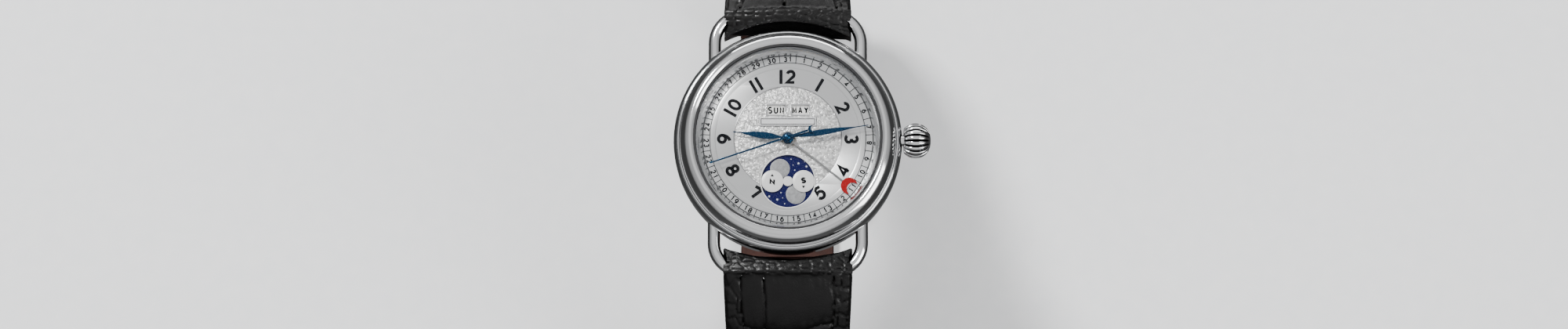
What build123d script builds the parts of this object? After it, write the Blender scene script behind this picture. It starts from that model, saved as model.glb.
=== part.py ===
from build123d import *
from math import asin, atan2, cos, degrees, hypot, pi, radians, sin, sqrt
import os

os.makedirs("parts", exist_ok=True)

# Moon phase wristwatch with a round case, wire lugs, a fluted crown and a leather strap.
# Millimetres. +Z points out of the dial, +Y to 12 o'clock, +X to 3 o'clock.
# The origin is the centre of the case back's outer face.

# Case, radii and heights above the outer face of the case back
case_radius = 20.0
case_wall = 3.1
case_bore = case_radius - case_wall
band_foot_inset = 2.0
band_foot_radius = case_radius - band_foot_inset
band_foot_z = 0.5
band_low_z = 3.6
band_high_z = 5.3
shoulder_inset = 0.58
shoulder_radius = case_radius - shoulder_inset
shoulder_z = 6.75
bead_low_z = 6.66
bead_top_z = 6.92
bead_inset = 0.68
bead_width = 0.46
bead_outer_radius = case_radius - bead_inset
bead_inner_radius = bead_outer_radius - bead_width
bezel_seat_z = 6.6
bezel_gap = 0.04
bezel_width = 2.42
bezel_radius = bead_inner_radius - bezel_gap
bezel_bore = bezel_radius - bezel_width
bezel_skirt_z = 7.35
bezel_crown_inset = 1.52
bezel_crown_radius = bezel_radius - bezel_crown_inset
bezel_crown_z = 10.1
bezel_lip_z = 9.88
overrun = 1.0
running_gap = 0.05
seat_gap = 0.02

# Crystal and gasket
gasket_wall = 0.3
gasket_foot_width = 0.4
crystal_radius = bezel_bore - gasket_wall
crystal_low_z = 9.45
crystal_edge_z = 9.82
crystal_bevel = 0.25
crystal_shoulder_radius = crystal_radius - crystal_bevel
crystal_shoulder_z = 10.0
crystal_rise = 1.15
crystal_rim = 0.7
crystal_hollow_radius = crystal_radius - crystal_rim
crystal_hollow_rise = 0.8
gasket_low_z = 9.15
gasket_top_z = 9.8
gasket_foot_radius = bezel_bore - gasket_foot_width

# Dial
dial_gap = 0.1
dial_radius = bezel_bore - dial_gap
dial_low_z = 6.85
dial_top_z = 7.2
dial_centre_z = 7.03
dial_centre_radius = 9.4
dial_hole_radius = 1.12
bead_ring_inner = 12.65
bead_ring_outer = 13.55
bead_ring_rise = 0.05
rehaut_slope_width = 1.1
rehaut_foot_radius = gasket_foot_radius - rehaut_slope_width
rehaut_top_radius = gasket_foot_radius
rehaut_radius = bezel_bore - running_gap
moon_window_y = -7.48
moon_window_radius = 4.64
moon_rim_radius = 4.88
moon_rim_z = 7.28
mask_low_z = 6.92
mask_top_z = 7.1
letter_disc_radius = 1.93
letter_disc_x = 2.72
mask_hub_radius = 0.87
window_y = 5.2
day_window_x = -2.07
day_window_width = 3.15
month_window_x = 2.18
month_window_width = 2.98
window_height = 1.73
window_frame = 0.2
window_frame_rise = 0.08
plaque_length = 10.0
plaque_height = 1.6
plaque_y = 3.07
plaque_rise = 0.25
plaque_bevel = 0.12

# Calendar discs and the plate that carries them
disc_low_z = 6.6
disc_top_z = 6.76
disc_radius = 5.85
day_disc_x = -6.25
month_disc_x = 6.4
moon_disc_radius = 5.0
moon_disc_root = 4.8
moon_disc_teeth = 59
moon_radius = 1.72
moon_centre_radius = 2.66
moon_angle = 31.0
moon_rise = 0.06
post_radius = 0.35
calendar_plate_low_z = 6.1
calendar_plate_top_z = 6.56
calendar_plate_bore = 6.2

# Movement
movement_radius = 13.2
ring_bore = 13.25
ring_radius = case_bore - running_gap
ring_low_z = 2.7
ring_ledge = 2.05
ring_step_radius = dial_radius - ring_ledge
ring_step_z = 6.5
plate_low_z = 4.9
plate_top_z = 6.1
bridge_radius = 12.9
bridge_low_z = 2.7
bridge_top_z = 3.3
bridge_gap = 0.16
split_slope = 0.25
split_y = 2.3
train_edge_x = -2.2
pivot_radius = 0.12
jewel_radius = 0.45
jewel_hole_radius = 0.16
jewel_height = 0.3
pillar_radius = 1.05
cock_width = 2.6
cock_foot_radius = 1.4
screw_head_radius = 0.7
screw_head_height = 0.25
screw_radius = 0.35
screw_depth_z = 4.3
clamp_low_z = 2.45
clamp_inner_radius = 12.35
clamp_end = 0.9
clamp_width = 3.0
clamp_head_z = 2.2

# Wheels: teeth, module of the pair and the height of each wheel
fourth_teeth = 96
third_teeth = 75
great_teeth = 80
barrel_teeth = 72
escape_teeth = 20
date_teeth = 31
hour_teeth = 36
wheel_thickness = 0.13
tooth_depth = 0.22
mesh_gap = 0.06
fourth_radius = 3.6
fourth_pinion = 0.5
fourth_z = 4.2
third_radius = 3.65
third_pinion = 0.5
third_z = 3.86
great_radius = 4.35
great_pinion = 0.7
great_z = 4.54
barrel_radius = 4.68
barrel_drum_radius = 4.3
barrel_low_z = 3.42
barrel_top_z = 4.35
barrel_flange_z = 3.72
barrel_arbor_radius = 0.6
escape_radius = 1.9
escape_pinion = 0.3
escape_z = 4.5
escape_hook = 0.5
hook_lean_share = 0.2
third_place = (4.1, 1.1)
great_place = (1.0, 4.96)
barrel_place = (-4.05, 7.0)
escape_place = (1.98, -3.42)
balance_place = (-4.9, -6.2)
cock_foot_place = (-10.9, -2.6)
pallet_distance = 4.45
pallet_arm = 1.55
pallet_width = 0.36
pallet_stone = 1.15
pallet_low_z = 4.45
pallet_top_z = 4.65
balance_radius = 4.2
balance_rim = 0.5
balance_low_z = 3.74
balance_top_z = 4.05
balance_arm = 0.5
collet_radius = 0.45
roller_radius = 0.45
roller_top_z = 4.7
spring_z = 3.42
spring_height = 0.16
spring_width = 0.12
spring_inner_radius = 0.62
spring_pitch = 0.56
spring_turns = 4
stud_radius = 0.3
barrel_bridge_pillars = ((8.8, 6.5), (-10.8, 1.9), (3.6, 11.2))
train_bridge_pillars = ((8.6, -5.6), (0.4, -10.8), (10.6, 1.4))
clamp_angles = (75.0, 195.0, 315.0)

# Rotor
rotor_low_z = 1.5
rotor_web_z = 1.9
rotor_top_z = 2.4
rotor_radius = 12.1
clamp_screw_at = (rotor_radius + ring_radius) / 2
clamp_length = clamp_screw_at + clamp_end - clamp_inner_radius
rotor_rim = 2.2
rotor_hub_radius = 2.4
rotor_spoke = 2.6
bearing_radius = 1.3
bearing_flange_radius = 1.75
bearing_flange_z = 1.2

# Hands and their pipes
arbor_radius = 0.14
cannon_radius = 0.42
hour_pipe_radius = 0.72
date_pipe_radius = 1.0
cannon_bore = 0.2
hand_thickness = 0.12
date_hand_z = 7.5
hour_hand_z = 7.95
minute_hand_z = 8.4
seconds_hand_z = 8.85
date_hub_radius = 1.25
hour_hub_radius = 1.0
minute_hub_radius = 0.8
seconds_hub_radius = 0.57
seconds_cap_z = 9.15
hub_rise = 0.1
hour_hand_length = 9.65
hour_hand_width = 1.18
hour_hand_angle = -276.6
minute_hand_length = 14.2
minute_hand_width = 1.02
minute_hand_angle = -81.1
leaf_tail = 2.2
leaf_neck_width = 0.36
seconds_hand_length = 14.3
seconds_hand_width = 0.2
seconds_hand_angle = -251.2
half_turn = 180.0
seconds_tail = 4.4
crescent_radius = 0.66
crescent_bite = 0.52
date_hand_length = 14.3
date_hand_width = 0.26
date_hand_angle = -128.3
date_crescent_radius = 1.45
date_crescent_bite = 1.15
date_gear_radius = 6.0
date_gear_z = 6.32
hour_gear_radius = 3.2
hour_gear_z = 6.15

# Case back
back_ledge = 0.4
back_radius = case_bore + back_ledge
back_top_z = 1.15
back_glass_radius = 12.6
back_glass_top_z = 1.1
back_lip_radius = 12.2
back_lip_z = 0.35
back_bevel = 0.35
back_gasket_radius = case_bore + running_gap
back_gasket_z = 1.3

# Crown
stem_z = 5.4
stem_radius = 0.4
stem_start_x = 8.0
tube_radius = 0.95
tube_bore = 0.5
tube_start_x = case_bore + gasket_wall
tube_reach = 1.4
tube_end_x = case_radius + tube_reach
crown_gap = 0.3
crown_start_x = case_radius + crown_gap
crown_face_radius = 2.25
crown_radius = 3.08
crown_belly = 2.1
crown_widest_x = crown_start_x + crown_belly
crown_length = 4.65
crown_end_x = crown_start_x + crown_length
crown_tip_radius = 0.8
crown_well_radius = 1.35
crown_well_depth = 1.9
crown_well_x = crown_start_x + crown_well_depth
crown_boss_depth = 2.6
crown_boss_x = crown_start_x + crown_boss_depth
flute_count = 18
flute_phase_share = 0.5
flute_shift = 2.06
flute_centre_x = crown_start_x + flute_shift
flute_ring_radius = 3.1
flute_depth = 0.34
flute_half_width = 0.2
flute_back_angle = 56.0
flute_front_angle = 74.0
gasket_start_x = crown_start_x + crown_gap
gasket_width = 0.5
gasket_end_x = gasket_start_x + gasket_width
ring_stem_hole = 0.7

# Correctors: small buttons sunk in the flank
corrector_z = 4.4
corrector_radius = 0.7
corrector_sink = 0.28
corrector_end = case_radius - corrector_sink
corrector_head_radius = 1.05
corrector_head_height = 0.5
corrector_rest = 0.15
corrector_head_end = case_bore - corrector_rest
corrector_head_start = corrector_head_end - corrector_head_height
pocket_depth = 1.4
corrector_pocket = case_bore - pocket_depth
corrector_angles = {"month": 30.0, "day": 150.0, "moon": 210.0, "date": 330.0}

# Lug wires
wire_radius = 1.1
wire_z = 4.0
wire_inset = 7.1
wire_x = case_radius - wire_inset
wire_root = 6.6
wire_start_y = case_radius - wire_root
wire_reach = 4.0
wire_bar_y = case_radius + wire_reach
wire_bar_arc = 34.5
wire_corner = 5.0

# Strap, measured along its inner leather face from the lug bar
hinge_reach = 2.85
hinge_y = case_radius + hinge_reach
strap_start_angle = 18.0
strap_hump_radius = 2.9
strap_hump_drop = 2.4
strap_tunnel_gap = 0.75
strap_upper_arc = 28.0
short_lower_arc = 20.9
keeper_reach = 6.6
strap_tail_arc = 4000.0
lug_width = 22.4
buckle_width = 18.0
strap_edge_end = 1.3
strap_edge_start = 4.1
strap_crown_end = 1.8
strap_crown_start = 5.1
lining_thickness = 0.8
short_length = 72.0
long_length = 107.0
nose_overlap = 1.8
nose_y = case_radius - nose_overlap
nose_half = 0.6
nose_gap = 0.95
nose_centre_y = case_radius + nose_gap
nose_arc = 25.6
lining_nose_gap = 0.1
lining_nose_radius = case_radius - lining_nose_gap
taper_length = 60.0
strap_step = 3.6
hole_radius = 0.95
hole_pitch = 6.4
hole_count = 7
hole_first = 22.0
tip_length = 9.0
tip_half_width = 2.6
tip_shoulder_share = 0.84
tip_depth_share = 0.62

# Keepers and buckle
keeper_width = 5.0
keeper_wall = 1.1
keeper_clear = 0.35
fixed_keeper_at = 67.4
free_keeper_at = 54.0
bar_radius = 0.75
bar_at = 73.0
bar_sleeve = 1.45
buckle_inner_width = 18.8
buckle_wall = 1.7
buckle_length = 14.6
buckle_height = 1.7
ear_radius = 1.5
ear_length = 1.3
tongue_width = 1.7
tongue_slot = 2.5
tongue_slot_length = 5.2
tongue_height = 1.0
tongue_ring_radius = 1.35
buckle_corner = 2.2


def polar(radius, angle):
    """The point at this radius and angle from +X."""
    return (radius * cos(radians(angle)), radius * sin(radians(angle)))


def dome_middle(radius, rise, top_z):
    """The middle point of a shallow dome's arc from its edge to the axis."""
    sphere = (radius * radius + rise * rise) / (2 * rise)
    half = asin(radius / sphere) / 2
    return (sphere * sin(half), top_z - sphere * (1 - cos(half)))


def toothed_points(count, tip, root):
    """Corners of a wheel's rim, a tip and a root for each tooth."""
    step = 360.0 / count
    corners = []
    for tooth in range(count):
        corners.append(polar(tip, tooth * step))
        corners.append(polar(root, (tooth + 0.5) * step))
    return corners


def hooked_points(count, tip, root):
    """Corners of an escape wheel's rim, whose teeth all lean one way."""
    step = 360.0 / count
    corners = []
    for tooth in range(count):
        corners.append(polar(root, tooth * step))
        corners.append(polar(tip, (tooth + hook_lean_share) * step))
        corners.append(polar(root, (tooth + 2 * hook_lean_share) * step))
    return corners


def spoked_wheel(count, tip, hub, arms=4):
    """Sketch a toothed wheel with its spokes and a solid hub."""
    rim = tip - 3 * tooth_depth
    arm_width = 1.6 * tooth_depth
    Polygon(*toothed_points(count, tip, tip - tooth_depth), align=None)
    Circle(rim, mode=Mode.SUBTRACT)
    Circle(hub)
    for arm in range(arms // 2):
        Rectangle(2 * rim + tooth_depth, arm_width, rotation=arm * 360.0 / arms)


# Case middle: the round band that holds everything, bored for the crown, correctors and wires
with BuildPart() as case_middle:
    with BuildSketch(Plane.XZ):
        with BuildLine():
            Polyline(
                (case_bore, back_gasket_z),
                (back_radius + running_gap, back_gasket_z),
                (back_radius + running_gap, band_foot_z),
                (band_foot_radius, band_foot_z),
            )
            ThreePointArc(
                (band_foot_radius, band_foot_z),
                (band_foot_radius + 0.72 * (case_radius - band_foot_radius), 0.55 * band_low_z - band_foot_z / 2),
                (case_radius, band_low_z),
            )
            Line((case_radius, band_low_z), (case_radius, band_high_z))
            ThreePointArc(
                (case_radius, band_high_z),
                (case_radius - 0.26 * (case_radius - shoulder_radius), (band_high_z + 1.5 * shoulder_z) / 2.5),
                (shoulder_radius, shoulder_z),
            )
            Line((shoulder_radius, shoulder_z), (bead_outer_radius, bead_low_z))
            ThreePointArc(
                (bead_outer_radius, bead_low_z),
                ((bead_outer_radius + bead_inner_radius) / 2, bead_top_z),
                (bead_inner_radius, bead_low_z),
            )
            Polyline(
                (bead_inner_radius, bead_low_z),
                (bead_inner_radius, bezel_seat_z),
                (case_bore, bezel_seat_z),
                (case_bore, back_gasket_z),
            )
        make_face()
    revolve(axis=Axis.Z)
    with BuildSketch(Plane.YZ.offset(case_bore - overrun)):
        with Locations((0, stem_z)):
            Circle(tube_radius)
    extrude(amount=case_radius, mode=Mode.SUBTRACT)
    for side in (1, -1):
        with BuildSketch(Plane((0, side * wire_start_y, wire_z), x_dir=(1, 0, 0), z_dir=(0, side, 0))):
            with Locations((wire_x, 0), (-wire_x, 0)):
                Circle(wire_radius + seat_gap)
        extrude(amount=case_radius, mode=Mode.SUBTRACT)
    for angle in corrector_angles.values():
        flank = Plane(
            (*polar(case_bore - overrun, angle), corrector_z),
            x_dir=(-sin(radians(angle)), cos(radians(angle)), 0),
            z_dir=(*polar(1, angle), 0),
        )
        with BuildSketch(flank):
            Circle(corrector_radius + running_gap)
        extrude(amount=case_radius, mode=Mode.SUBTRACT)

# Bezel: the wide polished dome on the case middle's seat
with BuildPart() as bezel:
    with BuildSketch(Plane.XZ):
        with BuildLine():
            Polyline(
                (bezel_bore, bezel_lip_z),
                (bezel_bore, bezel_seat_z),
                (bezel_radius, bezel_seat_z),
                (bezel_radius, bezel_skirt_z),
            )
            ThreePointArc(
                (bezel_radius, bezel_skirt_z),
                (0.32 * bezel_crown_radius + 0.68 * bezel_radius, 0.3 * bezel_skirt_z + 0.7 * bezel_crown_z),
                (bezel_crown_radius, bezel_crown_z),
            )
            ThreePointArc(
                (bezel_crown_radius, bezel_crown_z),
                ((bezel_crown_radius + bezel_bore) / 2, (bezel_lip_z + 3 * bezel_crown_z) / 4),
                (bezel_bore, bezel_lip_z),
            )
        make_face()
    revolve(axis=Axis.Z)

# Crystal: a shallow dome, hollowed underneath for the hands
crystal_top_z = crystal_shoulder_z + crystal_rise
hollow_top_z = crystal_low_z + crystal_hollow_rise
with BuildPart() as crystal:
    with BuildSketch(Plane.XZ):
        with BuildLine():
            ThreePointArc(
                (0, crystal_top_z),
                dome_middle(crystal_shoulder_radius, crystal_rise, crystal_top_z),
                (crystal_shoulder_radius, crystal_shoulder_z),
            )
            Polyline(
                (crystal_shoulder_radius, crystal_shoulder_z),
                (crystal_radius, crystal_edge_z),
                (crystal_radius, crystal_low_z),
                (crystal_hollow_radius, crystal_low_z),
            )
            ThreePointArc(
                (crystal_hollow_radius, crystal_low_z),
                dome_middle(crystal_hollow_radius, crystal_hollow_rise, hollow_top_z),
                (0, hollow_top_z),
            )
            Line((0, hollow_top_z), (0, crystal_top_z))
        make_face()
    revolve(axis=Axis.Z)

# Crystal gasket: an L-shaped ring between crystal, bezel and rehaut
with BuildPart() as crystal_gasket:
    with BuildSketch(Plane.XZ):
        with BuildLine():
            Polyline(
                (gasket_foot_radius, gasket_low_z),
                (bezel_bore, gasket_low_z),
                (bezel_bore, gasket_top_z),
                (crystal_radius, gasket_top_z),
                (crystal_radius, crystal_low_z),
                (gasket_foot_radius, crystal_low_z),
                close=True,
            )
        make_face()
    revolve(axis=Axis.Z)

# Rehaut: the sloping mirror ring that stands on the dial's edge
with BuildPart() as rehaut:
    with BuildSketch(Plane.XZ):
        with BuildLine():
            Polyline(
                (rehaut_foot_radius, dial_top_z),
                (rehaut_radius, dial_top_z),
                (rehaut_radius, gasket_low_z),
                (rehaut_top_radius, gasket_low_z),
                close=True,
            )
        make_face()
    revolve(axis=Axis.Z)

# Dial: the outer ring with its raised band, cut for the moon window
with BuildPart() as dial:
    with BuildSketch(Plane.XY.offset(dial_low_z)):
        Circle(dial_radius)
        Circle(dial_centre_radius, mode=Mode.SUBTRACT)
        with Locations((0, moon_window_y)):
            Circle(moon_rim_radius, mode=Mode.SUBTRACT)
    extrude(amount=dial_top_z - dial_low_z)
    with BuildSketch(Plane.XY.offset(dial_top_z)):
        Circle(bead_ring_outer)
        Circle(bead_ring_inner, mode=Mode.SUBTRACT)
    extrude(amount=bead_ring_rise)

# Dial centre: the recessed disc with the day and month windows in raised frames
with BuildPart() as dial_centre:
    with BuildSketch(Plane.XY.offset(dial_low_z)):
        Circle(dial_centre_radius - seat_gap)
    extrude(amount=dial_centre_z - dial_low_z)
    with BuildSketch(Plane.XY.offset(dial_centre_z)):
        with Locations((day_window_x, window_y)):
            Rectangle(day_window_width + 2 * window_frame, window_height + 2 * window_frame)
        with Locations((month_window_x, window_y)):
            Rectangle(month_window_width + 2 * window_frame, window_height + 2 * window_frame)
    extrude(amount=window_frame_rise)
    with BuildSketch(Plane.XY.offset(dial_low_z)):
        with Locations((day_window_x, window_y)):
            Rectangle(day_window_width, window_height)
        with Locations((month_window_x, window_y)):
            Rectangle(month_window_width, window_height)
        with Locations((0, moon_window_y)):
            Circle(moon_rim_radius)
        Circle(dial_hole_radius)
    extrude(amount=overrun, mode=Mode.SUBTRACT)

# Dial plaque: the raised bar under the windows, left bare
with BuildPart() as dial_plaque:
    with BuildSketch(Plane.XY.offset(dial_centre_z)):
        with Locations((0, plaque_y)):
            Rectangle(plaque_length, plaque_height)
    extrude(amount=plaque_rise)
    chamfer(dial_plaque.faces().sort_by(Axis.Z)[-1].edges(), plaque_bevel)

# Moon mask: the window's rim with the bar of two letter discs and the middle disc
with BuildPart() as moon_mask:
    with BuildSketch(Plane.XY.offset(mask_low_z)):
        with Locations((0, moon_window_y)):
            Circle(moon_rim_radius - seat_gap)
            Circle(moon_window_radius, mode=Mode.SUBTRACT)
    extrude(amount=moon_rim_z - mask_low_z)
    with BuildSketch(Plane.XY.offset(mask_low_z)):
        with Locations((-letter_disc_x, moon_window_y), (letter_disc_x, moon_window_y)):
            Circle(letter_disc_radius)
        with Locations((0, moon_window_y)):
            Circle(mask_hub_radius)
    extrude(amount=mask_top_z - mask_low_z)

# Moon disc: two raised moons on a toothed disc
with BuildPart() as moon_disc:
    with BuildSketch(Plane.XY.offset(disc_low_z)):
        with Locations((0, moon_window_y)):
            Polygon(*toothed_points(moon_disc_teeth, moon_disc_radius, moon_disc_root), align=None)
            Circle(post_radius, mode=Mode.SUBTRACT)
    extrude(amount=disc_top_z - disc_low_z)
    with BuildSketch(Plane.XY.offset(disc_top_z)):
        with Locations((0, moon_window_y)):
            with PolarLocations(moon_centre_radius, 2, start_angle=90 + moon_angle):
                Circle(moon_radius)
    extrude(amount=moon_rise)

# Day disc and month disc
with BuildPart() as day_disc:
    with BuildSketch(Plane.XY.offset(disc_low_z)):
        with Locations((day_disc_x, window_y)):
            Circle(disc_radius)
            Circle(post_radius, mode=Mode.SUBTRACT)
    extrude(amount=disc_top_z - disc_low_z)

with BuildPart() as month_disc:
    with BuildSketch(Plane.XY.offset(disc_low_z)):
        with Locations((month_disc_x, window_y)):
            Circle(disc_radius)
            Circle(post_radius, mode=Mode.SUBTRACT)
    extrude(amount=disc_top_z - disc_low_z)

# Calendar plate: a ring round the date wheel with a post for each disc
with BuildPart() as calendar_plate:
    with BuildSketch(Plane.XY.offset(calendar_plate_low_z)):
        Circle(movement_radius)
        Circle(calendar_plate_bore, mode=Mode.SUBTRACT)
    extrude(amount=calendar_plate_top_z - calendar_plate_low_z)
    with BuildSketch(Plane.XY.offset(calendar_plate_top_z)):
        with Locations((0, moon_window_y), (day_disc_x, window_y), (month_disc_x, window_y)):
            Circle(post_radius - running_gap)
    extrude(amount=disc_top_z - calendar_plate_top_z)

# Movement ring: the spacer that centres the movement and carries the dial
with BuildPart() as movement_ring:
    with BuildSketch(Plane.XY.offset(ring_low_z)):
        Circle(ring_radius)
        Circle(ring_bore, mode=Mode.SUBTRACT)
    extrude(amount=ring_step_z - ring_low_z)
    with BuildSketch(Plane.XY.offset(ring_step_z)):
        Circle(dial_radius)
    extrude(amount=dial_low_z - ring_step_z)
    with BuildSketch(Plane.XY.offset(ring_step_z)):
        Circle(ring_step_radius)
    extrude(amount=dial_low_z - ring_step_z, mode=Mode.SUBTRACT)
    with BuildSketch(Plane.YZ.offset(ring_bore - overrun)):
        with Locations((0, stem_z)):
            Circle(ring_stem_hole)
    extrude(amount=ring_radius, mode=Mode.SUBTRACT)
    for angle in corrector_angles.values():
        pocket = Plane(
            (*polar(corrector_pocket, angle), corrector_z),
            x_dir=(-sin(radians(angle)), cos(radians(angle)), 0),
            z_dir=(*polar(1, angle), 0),
        )
        with BuildSketch(pocket):
            Circle(corrector_head_radius + 2 * running_gap)
        extrude(amount=ring_radius, mode=Mode.SUBTRACT)
    with BuildSketch(Plane.XY.offset(ring_low_z)):
        with Locations(*[polar(clamp_screw_at, angle) for angle in clamp_angles]):
            Circle(screw_radius + seat_gap)
    extrude(amount=screw_depth_z - ring_low_z + running_gap, mode=Mode.SUBTRACT)

# Places of the pallet fork, on the line from the balance to the escape wheel
fork_reach = hypot(escape_place[0] - balance_place[0], escape_place[1] - balance_place[1])
fork_dir = (
    (escape_place[0] - balance_place[0]) / fork_reach,
    (escape_place[1] - balance_place[1]) / fork_reach,
)
fork_angle = degrees(atan2(fork_dir[1], fork_dir[0]))
pallet_place = (
    balance_place[0] + pallet_distance * fork_dir[0],
    balance_place[1] + pallet_distance * fork_dir[1],
)
jewel_bridge_places = ((0, 0), third_place, great_place, escape_place, pallet_place, balance_place)
jewel_plate_places = (third_place, great_place, escape_place, pallet_place, balance_place)
all_pillars = barrel_bridge_pillars + train_bridge_pillars + (cock_foot_place,)

# Main plate: bored for the arbor, the barrel, the jewels, the screws and the stem
with BuildPart() as main_plate:
    with BuildSketch(Plane.XY.offset(plate_low_z)):
        Circle(movement_radius)
        Circle(cannon_bore, mode=Mode.SUBTRACT)
        with Locations(barrel_place):
            Circle(barrel_arbor_radius + running_gap, mode=Mode.SUBTRACT)
    extrude(amount=plate_top_z - plate_low_z)
    with BuildSketch(Plane.XY.offset(plate_low_z)):
        with Locations(*jewel_plate_places):
            Circle(jewel_radius)
    extrude(amount=jewel_height + running_gap, mode=Mode.SUBTRACT)
    with BuildSketch(Plane.YZ.offset(stem_start_x - running_gap)):
        with Locations((0, stem_z)):
            Circle(stem_radius + running_gap)
    extrude(amount=movement_radius, mode=Mode.SUBTRACT)


def bridge_outline(upper):
    """Sketch one side of the split disc; the lower side stops short of the balance."""
    far = 2 * bridge_radius
    shift = bridge_gap / 2 if upper else -bridge_gap / 2
    edge_y = split_y + shift
    reach = far if upper else -far
    left = -far if upper else train_edge_x
    Circle(bridge_radius)
    Polygon(
        (left, edge_y + split_slope * left),
        (far, edge_y + split_slope * far),
        (far, edge_y + split_slope * far + reach),
        (left, edge_y + split_slope * far + reach),
        align=None,
        mode=Mode.INTERSECT,
    )


def screw_wells(places):
    """Cut the head wells and the through holes of bridge screws."""
    with BuildSketch(Plane.XY.offset(bridge_low_z)) as wells:
        with Locations(*places):
            Circle(screw_head_radius + seat_gap)
    extrude(wells.sketch, amount=screw_head_height, mode=Mode.SUBTRACT)
    with BuildSketch(Plane.XY.offset(bridge_low_z)) as bores:
        with Locations(*places):
            Circle(screw_radius + seat_gap)
    extrude(bores.sketch, amount=plate_low_z - bridge_low_z, mode=Mode.SUBTRACT)


# Barrel bridge
with BuildPart() as barrel_bridge:
    with BuildSketch(Plane.XY.offset(bridge_low_z)):
        bridge_outline(True)
        with Locations(barrel_place):
            Circle(barrel_arbor_radius + running_gap, mode=Mode.SUBTRACT)
        with Locations(great_place):
            Circle(jewel_radius, mode=Mode.SUBTRACT)
    extrude(amount=bridge_top_z - bridge_low_z)
    with BuildSketch(Plane.XY.offset(bridge_top_z)):
        with Locations(*barrel_bridge_pillars):
            Circle(pillar_radius)
    extrude(amount=plate_low_z - bridge_top_z)
    screw_wells(barrel_bridge_pillars)

# Train bridge
with BuildPart() as train_bridge:
    with BuildSketch(Plane.XY.offset(bridge_low_z)):
        bridge_outline(False)
        with Locations((0, 0), third_place, escape_place, pallet_place):
            Circle(jewel_radius, mode=Mode.SUBTRACT)
    extrude(amount=bridge_top_z - bridge_low_z)
    with BuildSketch(Plane.XY.offset(bridge_top_z)):
        with Locations(*train_bridge_pillars):
            Circle(pillar_radius)
    extrude(amount=plate_low_z - bridge_top_z)
    screw_wells(train_bridge_pillars)

# Hairspring centre line: half turns whose radius grows by half a pitch each
spring_steps = 2 * spring_turns
spring_outer_radius = spring_inner_radius + spring_steps * spring_pitch / 2
spring_end_x = balance_place[0] - spring_inner_radius - spring_turns * spring_pitch

# Balance cock: a bar from its foot to the balance, with the hairspring's stud
with BuildPart() as balance_cock:
    cock_length = hypot(balance_place[0] - cock_foot_place[0], balance_place[1] - cock_foot_place[1])
    cock_angle = degrees(
        atan2(balance_place[1] - cock_foot_place[1], balance_place[0] - cock_foot_place[0])
    )
    cock_middle = (
        (balance_place[0] + cock_foot_place[0]) / 2,
        (balance_place[1] + cock_foot_place[1]) / 2,
    )
    with BuildSketch(Plane.XY.offset(bridge_low_z)):
        with Locations(cock_middle):
            SlotCenterToCenter(cock_length, cock_width, rotation=cock_angle)
        with Locations((balance_place[0] - spring_outer_radius / 2, balance_place[1])):
            SlotCenterToCenter(spring_outer_radius, 4 * stud_radius)
        with Locations(balance_place):
            Circle(jewel_radius, mode=Mode.SUBTRACT)
    extrude(amount=bridge_top_z - bridge_low_z)
    with BuildSketch(Plane.XY.offset(bridge_top_z)):
        with Locations(cock_foot_place):
            Circle(cock_foot_radius)
    extrude(amount=plate_low_z - bridge_top_z)
    with BuildSketch(Plane.XY.offset(bridge_top_z)):
        with Locations((spring_end_x, balance_place[1] + stud_radius)):
            Circle(stud_radius)
    extrude(amount=spring_z + spring_height - bridge_top_z)
    screw_wells((cock_foot_place,))

# Hairspring: one flat wire in four turns, its outer end at the stud
with BuildPart() as hairspring:
    with BuildLine() as spring_line:
        centre_x = balance_place[0]
        radius = spring_inner_radius - spring_pitch / 4
        start_x = centre_x - spring_inner_radius
        spring_points = []
        for step in range(spring_steps):
            way = 1 if step % 2 == 0 else -1
            radius += spring_pitch / 2
            end_x = start_x + 2 * way * radius
            middle_x = (start_x + end_x) / 2
            level = spring_z + spring_height / 2
            ThreePointArc(
                (start_x, balance_place[1], level),
                (middle_x, balance_place[1] + way * radius, level),
                (end_x, balance_place[1], level),
            )
            for share in range(12):
                turn = pi * share / 12
                spring_points.append(
                    (step + share / 12, middle_x - way * radius * cos(turn), way * radius * sin(turn))
                )
            start_x = end_x
    with BuildSketch(Plane((balance_place[0] - spring_inner_radius, balance_place[1], level), x_dir=(1, 0, 0), z_dir=(0, 1, 0))):
        Rectangle(spring_width, spring_height)
    sweep(path=spring_line.wire())

spring_gap = min(
    hypot(a[1] - b[1], a[2] - b[2]) - spring_width
    for a in spring_points
    for b in spring_points
    if b[0] - a[0] > 1.2
)
print(f"hairspring: {spring_turns} turns, least gap {spring_gap:.2f} mm")

# Jewels: pressed into the bridges, the cock and the main plate
with BuildPart() as jewels:
    with BuildSketch(Plane.XY.offset(bridge_low_z + running_gap)):
        with Locations(*jewel_bridge_places):
            Circle(jewel_radius)
            Circle(jewel_hole_radius, mode=Mode.SUBTRACT)
    extrude(amount=jewel_height)
    with BuildSketch(Plane.XY.offset(plate_low_z)):
        with Locations(*jewel_plate_places):
            Circle(jewel_radius)
            Circle(jewel_hole_radius, mode=Mode.SUBTRACT)
    extrude(amount=jewel_height)

# Screws: seven bridge screws and three clamp screws
with BuildPart() as movement_screws:
    with BuildSketch(Plane.XY.offset(bridge_low_z)):
        with Locations(*all_pillars):
            Circle(screw_head_radius)
    extrude(amount=screw_head_height)
    with BuildSketch(Plane.XY.offset(bridge_low_z)):
        with Locations(*all_pillars):
            Circle(screw_radius)
    extrude(amount=plate_low_z - bridge_low_z)
    with BuildSketch(Plane.XY.offset(clamp_head_z)):
        with Locations(*[polar(clamp_screw_at, angle) for angle in clamp_angles]):
            Circle(screw_head_radius)
    extrude(amount=clamp_low_z - clamp_head_z)
    with BuildSketch(Plane.XY.offset(clamp_head_z)):
        with Locations(*[polar(clamp_screw_at, angle) for angle in clamp_angles]):
            Circle(screw_radius)
    extrude(amount=screw_depth_z - clamp_head_z)

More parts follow.
